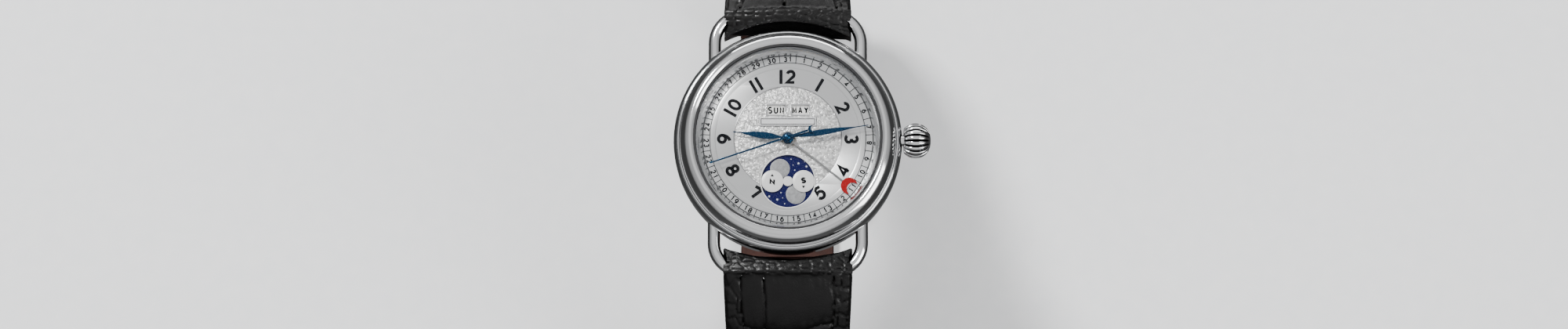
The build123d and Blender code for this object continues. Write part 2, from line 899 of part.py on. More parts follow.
# Case clamps: three tabs that hold the movement in its ring
with BuildPart() as case_clamps:
    for angle in clamp_angles:
        clamp_plane = Plane((0, 0, clamp_low_z), x_dir=(*polar(1, angle), 0), z_dir=(0, 0, 1))
        with BuildSketch(clamp_plane):
            with Locations((clamp_inner_radius + clamp_length / 2, 0)):
                RectangleRounded(clamp_length, clamp_width, screw_radius)
            with Locations((clamp_screw_at, 0)):
                Circle(screw_radius + seat_gap, mode=Mode.SUBTRACT)
        extrude(amount=bridge_low_z - clamp_low_z)


def train_arbor(place, low_z, high_z, radius):
    """Add an arbor with its two thin pivots."""
    with BuildSketch(Plane.XY.offset(low_z)) as body:
        with Locations(place):
            Circle(radius)
    extrude(body.sketch, amount=high_z - low_z)
    with BuildSketch(Plane.XY.offset(bridge_low_z + jewel_height / 2)) as pivots:
        with Locations(place):
            Circle(pivot_radius)
    extrude(pivots.sketch, amount=plate_low_z + jewel_height / 2 - bridge_low_z)


# Mainspring barrel
with BuildPart() as barrel:
    with BuildSketch(Plane.XY.offset(barrel_low_z)):
        with Locations(barrel_place):
            Polygon(*toothed_points(barrel_teeth, barrel_radius, barrel_radius - tooth_depth), align=None)
    extrude(amount=barrel_flange_z - barrel_low_z)
    with BuildSketch(Plane.XY.offset(barrel_flange_z)):
        with Locations(barrel_place):
            Circle(barrel_drum_radius)
    extrude(amount=barrel_top_z - barrel_flange_z)
    with BuildSketch(Plane.XY.offset(bridge_low_z)):
        with Locations(barrel_place):
            Circle(barrel_arbor_radius)
    extrude(amount=plate_top_z - bridge_low_z)

# Great wheel, driven by the barrel
with BuildPart() as great_wheel:
    with BuildSketch(Plane.XY.offset(great_z)):
        with Locations(great_place):
            spoked_wheel(great_teeth, great_radius, great_pinion)
    extrude(amount=wheel_thickness)
    train_arbor(great_place, barrel_low_z, great_z, great_pinion)

# Third wheel
with BuildPart() as third_wheel:
    with BuildSketch(Plane.XY.offset(third_z)):
        with Locations(third_place):
            spoked_wheel(third_teeth, third_radius, third_pinion)
    extrude(amount=wheel_thickness)
    train_arbor(third_place, third_z, great_z + wheel_thickness, third_pinion)

# Fourth wheel: its long arbor runs up through the dial to the seconds hand
with BuildPart() as fourth_wheel:
    with BuildSketch(Plane.XY.offset(fourth_z)):
        spoked_wheel(fourth_teeth, fourth_radius, fourth_pinion)
    extrude(amount=wheel_thickness)
    with BuildSketch(Plane.XY.offset(third_z)):
        Circle(fourth_pinion)
    extrude(amount=fourth_z - third_z)
    with BuildSketch(Plane.XY.offset(bridge_low_z + jewel_height / 2)):
        Circle(pivot_radius)
    extrude(amount=third_z - bridge_low_z - jewel_height / 2)
    with BuildSketch(Plane.XY.offset(fourth_z)):
        Circle(arbor_radius)
    extrude(amount=seconds_hand_z - fourth_z)

# Escape wheel: slanted teeth on a light rim
with BuildPart() as escape_wheel:
    with BuildSketch(Plane.XY.offset(escape_z)):
        with Locations(escape_place):
            Polygon(*hooked_points(escape_teeth, escape_radius, escape_radius - escape_hook), align=None)
            Circle(escape_radius - escape_hook - tooth_depth, mode=Mode.SUBTRACT)
            Circle(escape_pinion + tooth_depth)
            for arm in range(2):
                Rectangle(2 * (escape_radius - escape_hook - tooth_depth / 2), tooth_depth, rotation=arm * 90)
    extrude(amount=wheel_thickness)
    train_arbor(escape_place, fourth_z - wheel_thickness, escape_z, escape_pinion)

# Pallet fork: a bar across the escape wheel with two stones, and the lever to the balance
pallet_plane = Plane(
    (*pallet_place, pallet_low_z), x_dir=(fork_dir[0], fork_dir[1], 0), z_dir=(0, 0, 1)
)
with BuildPart() as pallet_fork:
    lever_length = pallet_distance - roller_radius - 3 * running_gap
    with BuildSketch(pallet_plane):
        Rectangle(pallet_width, 2 * pallet_arm + pallet_width)
        Circle(pallet_width)
        with Locations((-lever_length / 2, 0)):
            Rectangle(lever_length, pallet_width)
        with Locations((pallet_stone / 2, pallet_arm), (pallet_stone / 2, -pallet_arm)):
            Rectangle(pallet_stone, pallet_width)
    extrude(amount=pallet_top_z - pallet_low_z)
    train_arbor(pallet_place, pallet_low_z, pallet_top_z, pallet_width)

# Balance wheel with its staff, collet and roller
with BuildPart() as balance_wheel:
    with BuildSketch(Plane.XY.offset(balance_low_z)):
        with Locations(balance_place):
            Circle(balance_radius)
            Circle(balance_radius - balance_rim, mode=Mode.SUBTRACT)
            Circle(2 * collet_radius)
            for arm in range(3):
                with Locations(Location((0, 0, 0), (0, 0, arm * 120.0))):
                    with Locations(((balance_radius - balance_rim / 2) / 2, 0)):
                        Rectangle(balance_radius - balance_rim / 2, balance_arm)
    extrude(amount=balance_top_z - balance_low_z)
    train_arbor(balance_place, spring_z, roller_top_z, collet_radius)

# Rotor bearing, fixed to the bridge
with BuildPart() as rotor_bearing:
    with BuildSketch(Plane.XY.offset(bearing_flange_z)):
        Circle(bearing_flange_radius)
    extrude(amount=rotor_low_z - running_gap - bearing_flange_z)
    with BuildSketch(Plane.XY.offset(rotor_low_z - running_gap)):
        Circle(bearing_radius)
    extrude(amount=bridge_low_z - rotor_low_z + running_gap)

# Rotor: a half disc with a heavy rim, cut open behind it
with BuildPart() as rotor:
    with BuildSketch(Plane.XY.offset(rotor_low_z)):
        Circle(rotor_radius)
        with Locations((0, rotor_radius)):
            Rectangle(2 * rotor_radius, 2 * rotor_radius, mode=Mode.SUBTRACT)
        Circle(rotor_hub_radius)
        Circle(bearing_radius + running_gap, mode=Mode.SUBTRACT)
    extrude(amount=rotor_web_z - rotor_low_z)
    with BuildSketch(Plane.XY.offset(rotor_web_z)):
        Circle(rotor_radius)
        Circle(rotor_radius - rotor_rim, mode=Mode.SUBTRACT)
        with Locations((0, rotor_radius)):
            Rectangle(2 * rotor_radius, 2 * rotor_radius, mode=Mode.SUBTRACT)
    extrude(amount=rotor_top_z - rotor_web_z)
    with BuildSketch(Plane.XY.offset(rotor_low_z)):
        Circle(rotor_radius - rotor_rim)
        Circle(rotor_hub_radius + rotor_spoke / 2, mode=Mode.SUBTRACT)
        with Locations((0, rotor_radius - rotor_spoke / 2)):
            Rectangle(2 * rotor_radius, 2 * rotor_radius, mode=Mode.SUBTRACT)
        with Locations((0, -rotor_radius / 2)):
            Rectangle(rotor_spoke, rotor_radius, mode=Mode.SUBTRACT)
    extrude(amount=rotor_web_z - rotor_low_z, mode=Mode.SUBTRACT)

# Hour wheel and its pipe
with BuildPart() as hour_wheel:
    with BuildSketch(Plane.XY.offset(hour_gear_z)):
        Polygon(*toothed_points(hour_teeth, hour_gear_radius, hour_gear_radius - tooth_depth), align=None)
        Circle(cannon_radius + running_gap, mode=Mode.SUBTRACT)
    extrude(amount=wheel_thickness)
    with BuildSketch(Plane.XY.offset(hour_gear_z)):
        Circle(hour_pipe_radius)
        Circle(cannon_radius + running_gap, mode=Mode.SUBTRACT)
    extrude(amount=hour_hand_z + hand_thickness - hour_gear_z)

# Cannon pinion
with BuildPart() as cannon_pinion:
    with BuildSketch(Plane.XY.offset(plate_top_z + seat_gap)):
        Circle(cannon_radius)
        Circle(cannon_bore, mode=Mode.SUBTRACT)
    extrude(amount=minute_hand_z + hand_thickness - plate_top_z - seat_gap)

# Date wheel and its pipe
with BuildPart() as date_wheel:
    with BuildSketch(Plane.XY.offset(date_gear_z)):
        Polygon(*toothed_points(date_teeth, date_gear_radius, date_gear_radius - 2 * tooth_depth), align=None)
        Circle(hour_pipe_radius + running_gap, mode=Mode.SUBTRACT)
    extrude(amount=wheel_thickness)
    with BuildSketch(Plane.XY.offset(date_gear_z)):
        Circle(date_pipe_radius)
        Circle(hour_pipe_radius + running_gap, mode=Mode.SUBTRACT)
    extrude(amount=date_hand_z + hand_thickness - date_gear_z)


def hand_plane(height, turn):
    """A plane at this height whose +X runs along the hand, turned from 12 o'clock."""
    return Plane((0, 0, height), x_dir=(*polar(1, 90 + turn), 0), z_dir=(0, 0, 1))


def leaf_outline(length, width, tail):
    """Sketch a leaf hand along +X: a long curved blade and a short tail."""
    widest = 0.4 * length
    with BuildLine() as leaf:
        ThreePointArc((0, leaf_neck_width / 2), (widest, width / 2), (length, 0))
        ThreePointArc((length, 0), (widest, -width / 2), (0, -leaf_neck_width / 2))
        Polyline(
            (0, -leaf_neck_width / 2),
            (-tail, -leaf_neck_width / 2),
            (-tail, leaf_neck_width / 2),
            (0, leaf_neck_width / 2),
        )
    make_face(leaf.edges())


# Hour hand
with BuildPart() as hour_hand:
    with BuildSketch(hand_plane(hour_hand_z, hour_hand_angle)):
        leaf_outline(hour_hand_length, hour_hand_width, leaf_tail)
        Circle(hour_hub_radius)
        Circle(hour_pipe_radius, mode=Mode.SUBTRACT)
    extrude(amount=hand_thickness)
    with BuildSketch(Plane.XY.offset(hour_hand_z + hand_thickness)):
        Circle(hour_hub_radius)
        Circle(hour_pipe_radius, mode=Mode.SUBTRACT)
    extrude(amount=hub_rise)

# Minute hand
with BuildPart() as minute_hand:
    with BuildSketch(hand_plane(minute_hand_z, minute_hand_angle)):
        leaf_outline(minute_hand_length, minute_hand_width, leaf_tail)
        Circle(minute_hub_radius)
        Circle(cannon_radius, mode=Mode.SUBTRACT)
    extrude(amount=hand_thickness)
    with BuildSketch(Plane.XY.offset(minute_hand_z + hand_thickness)):
        Circle(minute_hub_radius)
        Circle(cannon_radius, mode=Mode.SUBTRACT)
    extrude(amount=hub_rise)


def crescent(centre_x, radius, bite):
    """Sketch a crescent that opens along +X."""
    with Locations((centre_x, 0)):
        Circle(radius)
    with Locations((centre_x + radius - bite / 2, 0)):
        Circle(bite, mode=Mode.SUBTRACT)


# Seconds hand: a thin needle with a crescent on its tail
with BuildPart() as seconds_hand:
    with BuildSketch(hand_plane(seconds_hand_z, seconds_hand_angle + half_turn)):
        crescent(seconds_tail, crescent_radius, crescent_bite)
    extrude(amount=hand_thickness)
    with BuildSketch(hand_plane(seconds_hand_z, seconds_hand_angle)):
        with BuildLine():
            Polyline(
                (crescent_radius - seconds_tail - seconds_hand_width / 2, seconds_hand_width),
                (seconds_hand_length, seconds_hand_width / 4),
                (seconds_hand_length, -seconds_hand_width / 4),
                (crescent_radius - seconds_tail - seconds_hand_width / 2, -seconds_hand_width),
                close=True,
            )
        make_face()
        Circle(seconds_hub_radius)
    extrude(amount=hand_thickness)
    with BuildSketch(Plane.XY.offset(seconds_hand_z + hand_thickness)):
        Circle(seconds_hub_radius)
    extrude(amount=seconds_cap_z - seconds_hand_z - hand_thickness, taper=30)

# Date hand: a thin pointer with a crescent round the date number
crescent_centre = date_hand_length - date_crescent_radius / 2
with BuildPart() as date_hand:
    with BuildSketch(hand_plane(date_hand_z, date_hand_angle)):
        crescent(crescent_centre, date_crescent_radius, date_crescent_bite)
    extrude(amount=hand_thickness)
    with BuildSketch(hand_plane(date_hand_z, date_hand_angle)):
        with Locations(((crescent_centre - date_crescent_radius + date_hand_width) / 2, 0)):
            Rectangle(crescent_centre - date_crescent_radius + date_hand_width, date_hand_width)
        Circle(date_hub_radius)
        Circle(date_pipe_radius, mode=Mode.SUBTRACT)
    extrude(amount=hand_thickness)

# Case back: the ring that holds the back crystal, its lip flush with the glass
with BuildPart() as case_back:
    with BuildSketch(Plane.XZ):
        with BuildLine():
            Polyline(
                (back_glass_radius, 0),
                (back_radius - back_bevel, 0),
                (back_radius, back_bevel),
                (back_radius, back_top_z),
                (back_lip_radius, back_top_z),
                (back_lip_radius, back_top_z - back_lip_z),
                (back_glass_radius, back_top_z - back_lip_z),
                close=True,
            )
        make_face()
    revolve(axis=Axis.Z)

with BuildPart() as back_crystal:
    with BuildSketch(Plane.XY):
        Circle(back_glass_radius - seat_gap)
    extrude(amount=back_top_z - back_lip_z)

with BuildPart() as back_gasket:
    with BuildSketch(Plane.XY.offset(back_top_z)):
        Circle(back_radius)
        Circle(back_gasket_radius, mode=Mode.SUBTRACT)
    extrude(amount=back_gasket_z - back_top_z)

# Crown tube, stem and gasket
with BuildPart() as crown_tube:
    with BuildSketch(Plane.YZ.offset(tube_start_x)):
        with Locations((0, stem_z)):
            Circle(tube_radius - seat_gap / 2)
            Circle(tube_bore, mode=Mode.SUBTRACT)
    extrude(amount=tube_end_x - tube_start_x)

with BuildPart() as stem:
    with BuildSketch(Plane.YZ.offset(stem_start_x)):
        with Locations((0, stem_z)):
            Circle(stem_radius)
    extrude(amount=crown_boss_x - stem_start_x)

with BuildPart() as crown_gasket:
    with BuildSketch(Plane.YZ.offset(gasket_start_x)):
        with Locations((0, stem_z)):
            Circle(crown_well_radius - seat_gap)
            Circle(tube_radius + seat_gap, mode=Mode.SUBTRACT)
    extrude(amount=gasket_end_x - gasket_start_x)

# Crown: an onion form with V-shaped flutes cut along its meridians
crown_plane = Plane((0, 0, stem_z), x_dir=(1, 0, 0), z_dir=(0, -1, 0))
with BuildPart() as crown:
    with BuildSketch(crown_plane):
        with BuildLine():
            Polyline(
                (crown_boss_x, 0),
                (crown_boss_x, stem_radius),
                (crown_well_x, stem_radius),
                (crown_well_x, crown_well_radius),
                (crown_start_x, crown_well_radius),
                (crown_start_x, crown_face_radius),
            )
            ThreePointArc(
                (crown_start_x, crown_face_radius),
                (crown_widest_x, crown_radius),
                (crown_end_x, crown_tip_radius),
            )
            Polyline((crown_end_x, crown_tip_radius), (crown_end_x, 0), (crown_boss_x, 0))
        make_face()
    revolve(axis=Axis((0, 0, stem_z), (1, 0, 0)))
    for flute in range(flute_count):
        turn = radians(360.0 * (flute + flute_phase_share) / flute_count)
        back = radians(flute_back_angle)
        out_dir = (-sin(back), cos(back) * sin(turn), cos(back) * cos(turn))
        along = (cos(back), sin(back) * sin(turn), sin(back) * cos(turn))
        with BuildSketch(Plane((flute_centre_x, 0, stem_z), x_dir=out_dir, z_dir=along)):
            with BuildLine():
                Polyline(
                    (flute_ring_radius - flute_depth, 0),
                    (flute_ring_radius + flute_depth, flute_half_width * 2),
                    (flute_ring_radius + flute_depth, -flute_half_width * 2),
                    close=True,
                )
            make_face()
        revolve(
            axis=Axis((flute_centre_x, 0, stem_z), (0, cos(turn), -sin(turn))),
            revolution_arc=flute_back_angle + flute_front_angle,
            mode=Mode.SUBTRACT,
        )


def corrector_solid(angle):
    """Add one corrector: a button in the flank with a head that keeps it in."""
    button = Plane(
        (*polar(corrector_head_start, angle), corrector_z),
        x_dir=(-sin(radians(angle)), cos(radians(angle)), 0),
        z_dir=(*polar(1, angle), 0),
    )
    with BuildSketch(button) as head:
        Circle(corrector_head_radius)
    extrude(head.sketch, amount=corrector_head_end - corrector_head_start)
    with BuildSketch(button) as pin:
        Circle(corrector_radius)
    extrude(pin.sketch, amount=corrector_end - corrector_head_start)


with BuildPart() as month_corrector:
    corrector_solid(corrector_angles["month"])
with BuildPart() as day_corrector:
    corrector_solid(corrector_angles["day"])
with BuildPart() as moon_corrector:
    corrector_solid(corrector_angles["moon"])
with BuildPart() as date_corrector:
    corrector_solid(corrector_angles["date"])

# Lug wires: each is one bent rod, straight arms, two round corners and an arched bar
bar_centre_y = wire_bar_y - wire_bar_arc
corner_x = wire_x - wire_corner
corner_y = bar_centre_y + sqrt((wire_bar_arc - wire_corner) ** 2 - corner_x**2)
corner_share = wire_bar_arc / (wire_bar_arc - wire_corner)
bar_end = (corner_x * corner_share, bar_centre_y + (corner_y - bar_centre_y) * corner_share)
corner_half = radians(atan2(corner_y - bar_centre_y, corner_x) * 90 / pi)
corner_middle = (corner_x + wire_corner * cos(corner_half), corner_y + wire_corner * sin(corner_half))


def wire_path(side):
    """Draw the wire's centre line at 12 o'clock (side 1) or 6 o'clock (side -1)."""
    Line((wire_x, side * wire_start_y, wire_z), (wire_x, side * corner_y, wire_z))
    ThreePointArc(
        (wire_x, side * corner_y, wire_z),
        (corner_middle[0], side * corner_middle[1], wire_z),
        (bar_end[0], side * bar_end[1], wire_z),
    )
    ThreePointArc(
        (bar_end[0], side * bar_end[1], wire_z),
        (0, side * wire_bar_y, wire_z),
        (-bar_end[0], side * bar_end[1], wire_z),
    )
    ThreePointArc(
        (-bar_end[0], side * bar_end[1], wire_z),
        (-corner_middle[0], side * corner_middle[1], wire_z),
        (-wire_x, side * corner_y, wire_z),
    )
    Line((-wire_x, side * corner_y, wire_z), (-wire_x, side * wire_start_y, wire_z))


def wire_end(side):
    """The plane across the wire's first end."""
    return Plane((wire_x, side * wire_start_y, wire_z), x_dir=(1, 0, 0), z_dir=(0, side, 0))


with BuildPart() as lug_wire_top:
    with BuildLine() as top_wire:
        wire_path(1)
    with BuildSketch(wire_end(1)):
        Circle(wire_radius)
    sweep(path=top_wire.wire())

with BuildPart() as lug_wire_bottom:
    with BuildLine() as bottom_wire:
        wire_path(-1)
    with BuildSketch(wire_end(-1)):
        Circle(wire_radius)
    sweep(path=bottom_wire.wire())

# Strap route in the plane X = 0: the inner leather face, as arcs of growing turn
upper_length = strap_upper_arc * radians(90 - strap_start_angle)
long_lower_arc = short_lower_arc + keeper_reach - strap_crown_end
lower_arc = {1: short_lower_arc, -1: long_lower_arc}
tail_arc = {1: short_lower_arc, -1: strap_tail_arc}
route_start = (
    hinge_y - strap_hump_drop * sin(radians(strap_start_angle)),
    wire_z - strap_hump_drop * cos(radians(strap_start_angle)),
)


def route(side, length):
    """Outward distance, height and downward turn of the strap's inner face at this length."""
    lower_length = lower_arc[side] * pi / 2
    turn = strap_start_angle + degrees(min(length, upper_length) / strap_upper_arc)
    out = route_start[0] + strap_upper_arc * (sin(radians(turn)) - sin(radians(strap_start_angle)))
    height = route_start[1] + strap_upper_arc * (cos(radians(turn)) - cos(radians(strap_start_angle)))
    for arc, run in ((lower_arc[side], lower_length), (tail_arc[side], 4 * long_length)):
        before = upper_length if run == lower_length else upper_length + lower_length
        if length > before:
            was = turn
            turn = was + degrees(min(length - before, run) / arc)
            out += arc * (sin(radians(turn)) - sin(radians(was)))
            height += arc * (cos(radians(turn)) - cos(radians(was)))
    return out, height, turn


def cross_plane(side, length):
    """The plane across the strap: its X is the width, its Y points out of the loop."""
    out, height, turn = route(side, length)
    return Plane(
        (0, side * out, height),
        x_dir=(1, 0, 0),
        z_dir=(0, -cos(radians(turn)), side * sin(radians(turn))),
    )


def face_plane(side, length, lift=0):
    """The plane along the strap's inner face, its Z out of the loop."""
    out, height, turn = route(side, length)
    normal = (0, side * sin(radians(turn)), cos(radians(turn)))
    return Plane(
        (0, side * out + lift * normal[1], height + lift * normal[2]), x_dir=(1, 0, 0), z_dir=normal
    )


def strap_width(length):
    """Full width: it narrows over the taper length and then stays."""
    share = min(length / taper_length, 1)
    return lug_width - (lug_width - buckle_width) * share


def leather_heights(length):
    """Heights of the leather's edge and crown over its inner face."""
    share = min(length / taper_length, 1) ** 0.6
    edge = strap_edge_start + (strap_edge_end - strap_edge_start) * share
    crown_height = strap_crown_start + (strap_crown_end - strap_crown_start) * share
    return edge, crown_height


def strap_stations(length):
    """Even lengths along the strap from the bar to its end."""
    count = round(length / strap_step)
    return [length * step / count for step in range(count + 1)]


def leather_sections(side, length):
    """The leather's sections along the strap: flat inside, crowned outside."""
    sections = []
    for place in strap_stations(length):
        half = strap_width(place) / 2
        edge, crown_height = leather_heights(place)
        with BuildSketch(cross_plane(side, place)) as section:
            with BuildLine():
                Polyline((-half, edge), (-half, 0), (half, 0), (half, edge))
                ThreePointArc((half, edge), (0, crown_height), (-half, edge))
            make_face()
        sections.append(section.sketch)
    return sections


def lining_sections(side, places):
    """The lining's sections along the strap, under the leather."""
    sections = []
    for place in places:
        with BuildSketch(cross_plane(side, place)) as section:
            with Locations((0, -lining_thickness / 2)):
                Rectangle(strap_width(place), lining_thickness)
        sections.append(section.sketch)
    return sections


def lining_room(side, depth):
    """The profile, in YZ, that lies under the strap's inner face near the bar."""
    drop = radians(strap_start_angle)
    return [
        (side * (nose_y - overrun), route_start[1]),
        (side * route_start[0], route_start[1]),
        (
            side * (route_start[0] + 2 * strap_hump_radius * cos(drop)),
            route_start[1] - 2 * strap_hump_radius * sin(drop),
        ),
        (side * (route_start[0] + 2 * strap_hump_radius * cos(drop)), route_start[1] - depth),
        (side * (nose_y - overrun), route_start[1] - depth),
    ]


def end_block(side):
    """Add the rounded end over the bar and its nose towards the case."""
    tangent = strap_hump_radius * 0.35
    rise = strap_hump_radius * 0.93
    with BuildSketch(Plane.YZ.offset(-lug_width / 2)) as hump:
        with Locations((side * hinge_y, wire_z)):
            Circle(strap_hump_radius)
        Polygon(
            (side * nose_y, wire_z - nose_half),
            (side * nose_y, wire_z + nose_half),
            (side * (hinge_y - tangent), wire_z + rise),
            (side * (hinge_y - tangent), wire_z - rise),
            align=None,
        )
        Polygon(*lining_room(side, 2 * strap_hump_radius), align=None, mode=Mode.SUBTRACT)
    extrude(hump.sketch, amount=lug_width)
    with BuildSketch(Plane.XY.offset(wire_z - 2 * strap_hump_radius)) as hollow:
        with Locations((0, side * (nose_centre_y - nose_arc))):
            Circle(nose_arc)
    extrude(hollow.sketch, amount=4 * strap_hump_radius, mode=Mode.SUBTRACT)


def tunnel(side, path):
    """Cut the tunnel that the lug wire passes through."""
    with BuildSketch(wire_end(side)) as bore:
        Circle(wire_radius + strap_tunnel_gap)
    sweep(bore.sketch, path=path, mode=Mode.SUBTRACT)


def strap_holes(side, low, high):
    """Cut the row of buckle holes."""
    for hole in range(hole_count):
        with BuildSketch(face_plane(side, long_length - hole_first - hole * hole_pitch, low)) as punch:
            Circle(hole_radius)
        extrude(punch.sketch, amount=high - low, mode=Mode.SUBTRACT)


def rounded_tip(side):
    """Cut the strap's end to a rounded point."""
    half = buckle_width / 2
    sign = -side
    plane = face_plane(side, long_length - tip_length, -overrun - lining_thickness)
    with BuildSketch(plane) as waste:
        with Locations((0, -sign * (tip_length + overrun) / 2)):
            Rectangle(2 * half + 2 * overrun, tip_length + overrun)
        with BuildLine() as tip_line:
            ThreePointArc(
                (half, 0),
                (half * tip_shoulder_share, -sign * tip_length * tip_depth_share),
                (tip_half_width, -sign * tip_length),
            )
            Line((tip_half_width, -sign * tip_length), (-tip_half_width, -sign * tip_length))
            ThreePointArc(
                (-tip_half_width, -sign * tip_length),
                (-half * tip_shoulder_share, -sign * tip_length * tip_depth_share),
                (-half, 0),
            )
            Line((-half, 0), (half, 0))
        make_face(mode=Mode.SUBTRACT)
    cut_height = 2 * overrun + lining_thickness + 2 * strap_crown_end
    extrude(waste.sketch, amount=cut_height, mode=Mode.SUBTRACT)


def bar_plane(along_x=0):
    """A plane across the buckle bar, its X along the strap and its Y out of the loop."""
    out, height, turn = route(1, bar_at)
    lift = (strap_edge_end + strap_crown_end) / 4 - lining_thickness / 2 + seat_gap
    normal = (0, sin(radians(turn)), cos(radians(turn)))
    return Plane(
        (along_x, out + lift * normal[1], height + lift * normal[2]),
        x_dir=(0, cos(radians(turn)), -sin(radians(turn))),
        z_dir=(1, 0, 0),
    )


def bar_loop_cuts():
    """Cut the bar's hole and the tongue's slot in the strap's end."""
    with BuildSketch(bar_plane(-buckle_width / 2 - overrun)) as bar_hole:
        Circle(bar_radius + seat_gap)
    extrude(bar_hole.sketch, amount=buckle_width + 2 * overrun, mode=Mode.SUBTRACT)
    with BuildSketch(bar_plane(-tongue_slot / 2)) as slot:
        Rectangle(2 * tongue_slot_length, 4 * bar_sleeve)
    extrude(slot.sketch, amount=tongue_slot, mode=Mode.SUBTRACT)


# Short strap, 12 o'clock side: leather, then lining
with BuildPart() as strap_top:
    end_block(1)
    loft(leather_sections(1, short_length), ruled=True)
    with BuildSketch(bar_plane(-buckle_width / 2)):
        Circle(bar_sleeve)
    extrude(amount=buckle_width)
    tunnel(1, top_wire.wire())
    bar_loop_cuts()

with BuildPart() as strap_bottom:
    end_block(-1)
    loft(leather_sections(-1, long_length), ruled=True)
    tunnel(-1, bottom_wire.wire())
    strap_holes(-1, -overrun, 2 * strap_crown_start)
    rounded_tip(-1)


def lining_tongue(side):
    """Add the lining's flat end that reaches under the case's flank."""
    drop = radians(strap_start_angle)
    reach = lug_width / 2 - 2 * lining_thickness
    with BuildSketch(Plane.YZ.offset(-reach)) as plate:
        Polygon(
            (side * (nose_y - overrun), route_start[1]),
            (side * route_start[0], route_start[1]),
            (
                side * (route_start[0] - lining_thickness * sin(drop)),
                route_start[1] - lining_thickness * cos(drop),
            ),
            (side * (nose_y - overrun), route_start[1] - lining_thickness * cos(drop)),
            align=None,
        )
    extrude(plate.sketch, amount=2 * reach)
    with BuildSketch(Plane.XY.offset(-overrun)) as flank:
        Circle(lining_nose_radius)
    extrude(flank.sketch, amount=2 * wire_z, mode=Mode.SUBTRACT)


with BuildPart() as lining_top:
    lining_tongue(1)
    loft(lining_sections(1, strap_stations(short_length)[:-1]), ruled=True)
    bar_loop_cuts()

with BuildPart() as lining_bottom:
    lining_tongue(-1)
    loft(lining_sections(-1, strap_stations(long_length)), ruled=True)
    strap_holes(-1, -lining_thickness - overrun, overrun)
    rounded_tip(-1)


def keeper(length):
    """Add a leather loop round the strap, with room for the other end of the strap."""
    edge, crown_height = leather_heights(length)
    low = -lining_thickness - keeper_clear
    high = keeper_reach - keeper_wall
    width = strap_width(length) + 2 * keeper_clear
    out, height, turn = route(1, length)
    start = cross_plane(1, length).offset(-keeper_width / 2)
    with BuildSketch(start) as loop:
        with Locations((0, (low + high) / 2)):
            RectangleRounded(width + 2 * keeper_wall, high - low + 2 * keeper_wall, keeper_wall)
            Rectangle(width, high - low, mode=Mode.SUBTRACT)
    extrude(loop.sketch, amount=keeper_width)


with BuildPart() as fixed_keeper:
    keeper(fixed_keeper_at)

with BuildPart() as free_keeper:
    keeper(free_keeper_at)

# Buckle bar through the strap's end and the frame's ears
with BuildPart() as buckle_bar:
    bar_half = buckle_inner_width / 2 + ear_length - seat_gap
    with BuildSketch(bar_plane(-bar_half)):
        Circle(bar_radius)
    extrude(amount=2 * bar_half)

# Buckle frame: two ears on the bar, two side arms and the end bar
with BuildPart() as buckle_frame:
    outer_half = buckle_inner_width / 2 + ear_length
    frame_plane = bar_plane()
    deck = Plane(
        frame_plane.origin - frame_plane.y_dir * (buckle_height / 2),
        x_dir=(1, 0, 0),
        z_dir=frame_plane.y_dir,
    )
    way = 1 if deck.y_dir.dot(frame_plane.x_dir) > 0 else -1
    with BuildSketch(deck):
        with Locations((0, way * (buckle_length - ear_radius) / 2)):
            RectangleRounded(2 * outer_half, buckle_length + ear_radius, buckle_corner / 2)
        with Locations((0, way * (buckle_length - buckle_wall - 2 * ear_radius) / 2)):
            Rectangle(buckle_inner_width, buckle_length - buckle_wall + 2 * ear_radius, mode=Mode.SUBTRACT)
    extrude(amount=buckle_height)
    for side in (1, -1):
        with BuildSketch(bar_plane(buckle_inner_width / 2 if side > 0 else -outer_half)):
            Circle(ear_radius)
        extrude(amount=ear_length)
    with BuildSketch(bar_plane(-outer_half - overrun)):
        Circle(bar_radius + running_gap)
    extrude(amount=2 * outer_half + 2 * overrun, mode=Mode.SUBTRACT)

# Buckle tongue: a ring on the bar and a bent arm that rests on the end bar
with BuildPart() as buckle_tongue:
    with BuildSketch(bar_plane(-tongue_width / 2)):
        Circle(tongue_ring_radius)
        with BuildLine():
            arm_low = buckle_height / 2 + seat_gap
            arm_high = arm_low + tongue_height
            Polyline(
                (0, 0),
                (buckle_length - buckle_wall - ear_radius, arm_low - tongue_height),
                (buckle_length - buckle_wall - ear_radius, arm_low),
                (buckle_length - ear_radius / 2, arm_low),
                (buckle_length - ear_radius / 2, arm_low + tongue_height / 2),
                (buckle_length - buckle_wall - ear_radius, arm_high),
                (0, tongue_ring_radius),
                close=True,
            )
        make_face()
        Circle(bar_radius + running_gap, mode=Mode.SUBTRACT)
    extrude(amount=tongue_width)

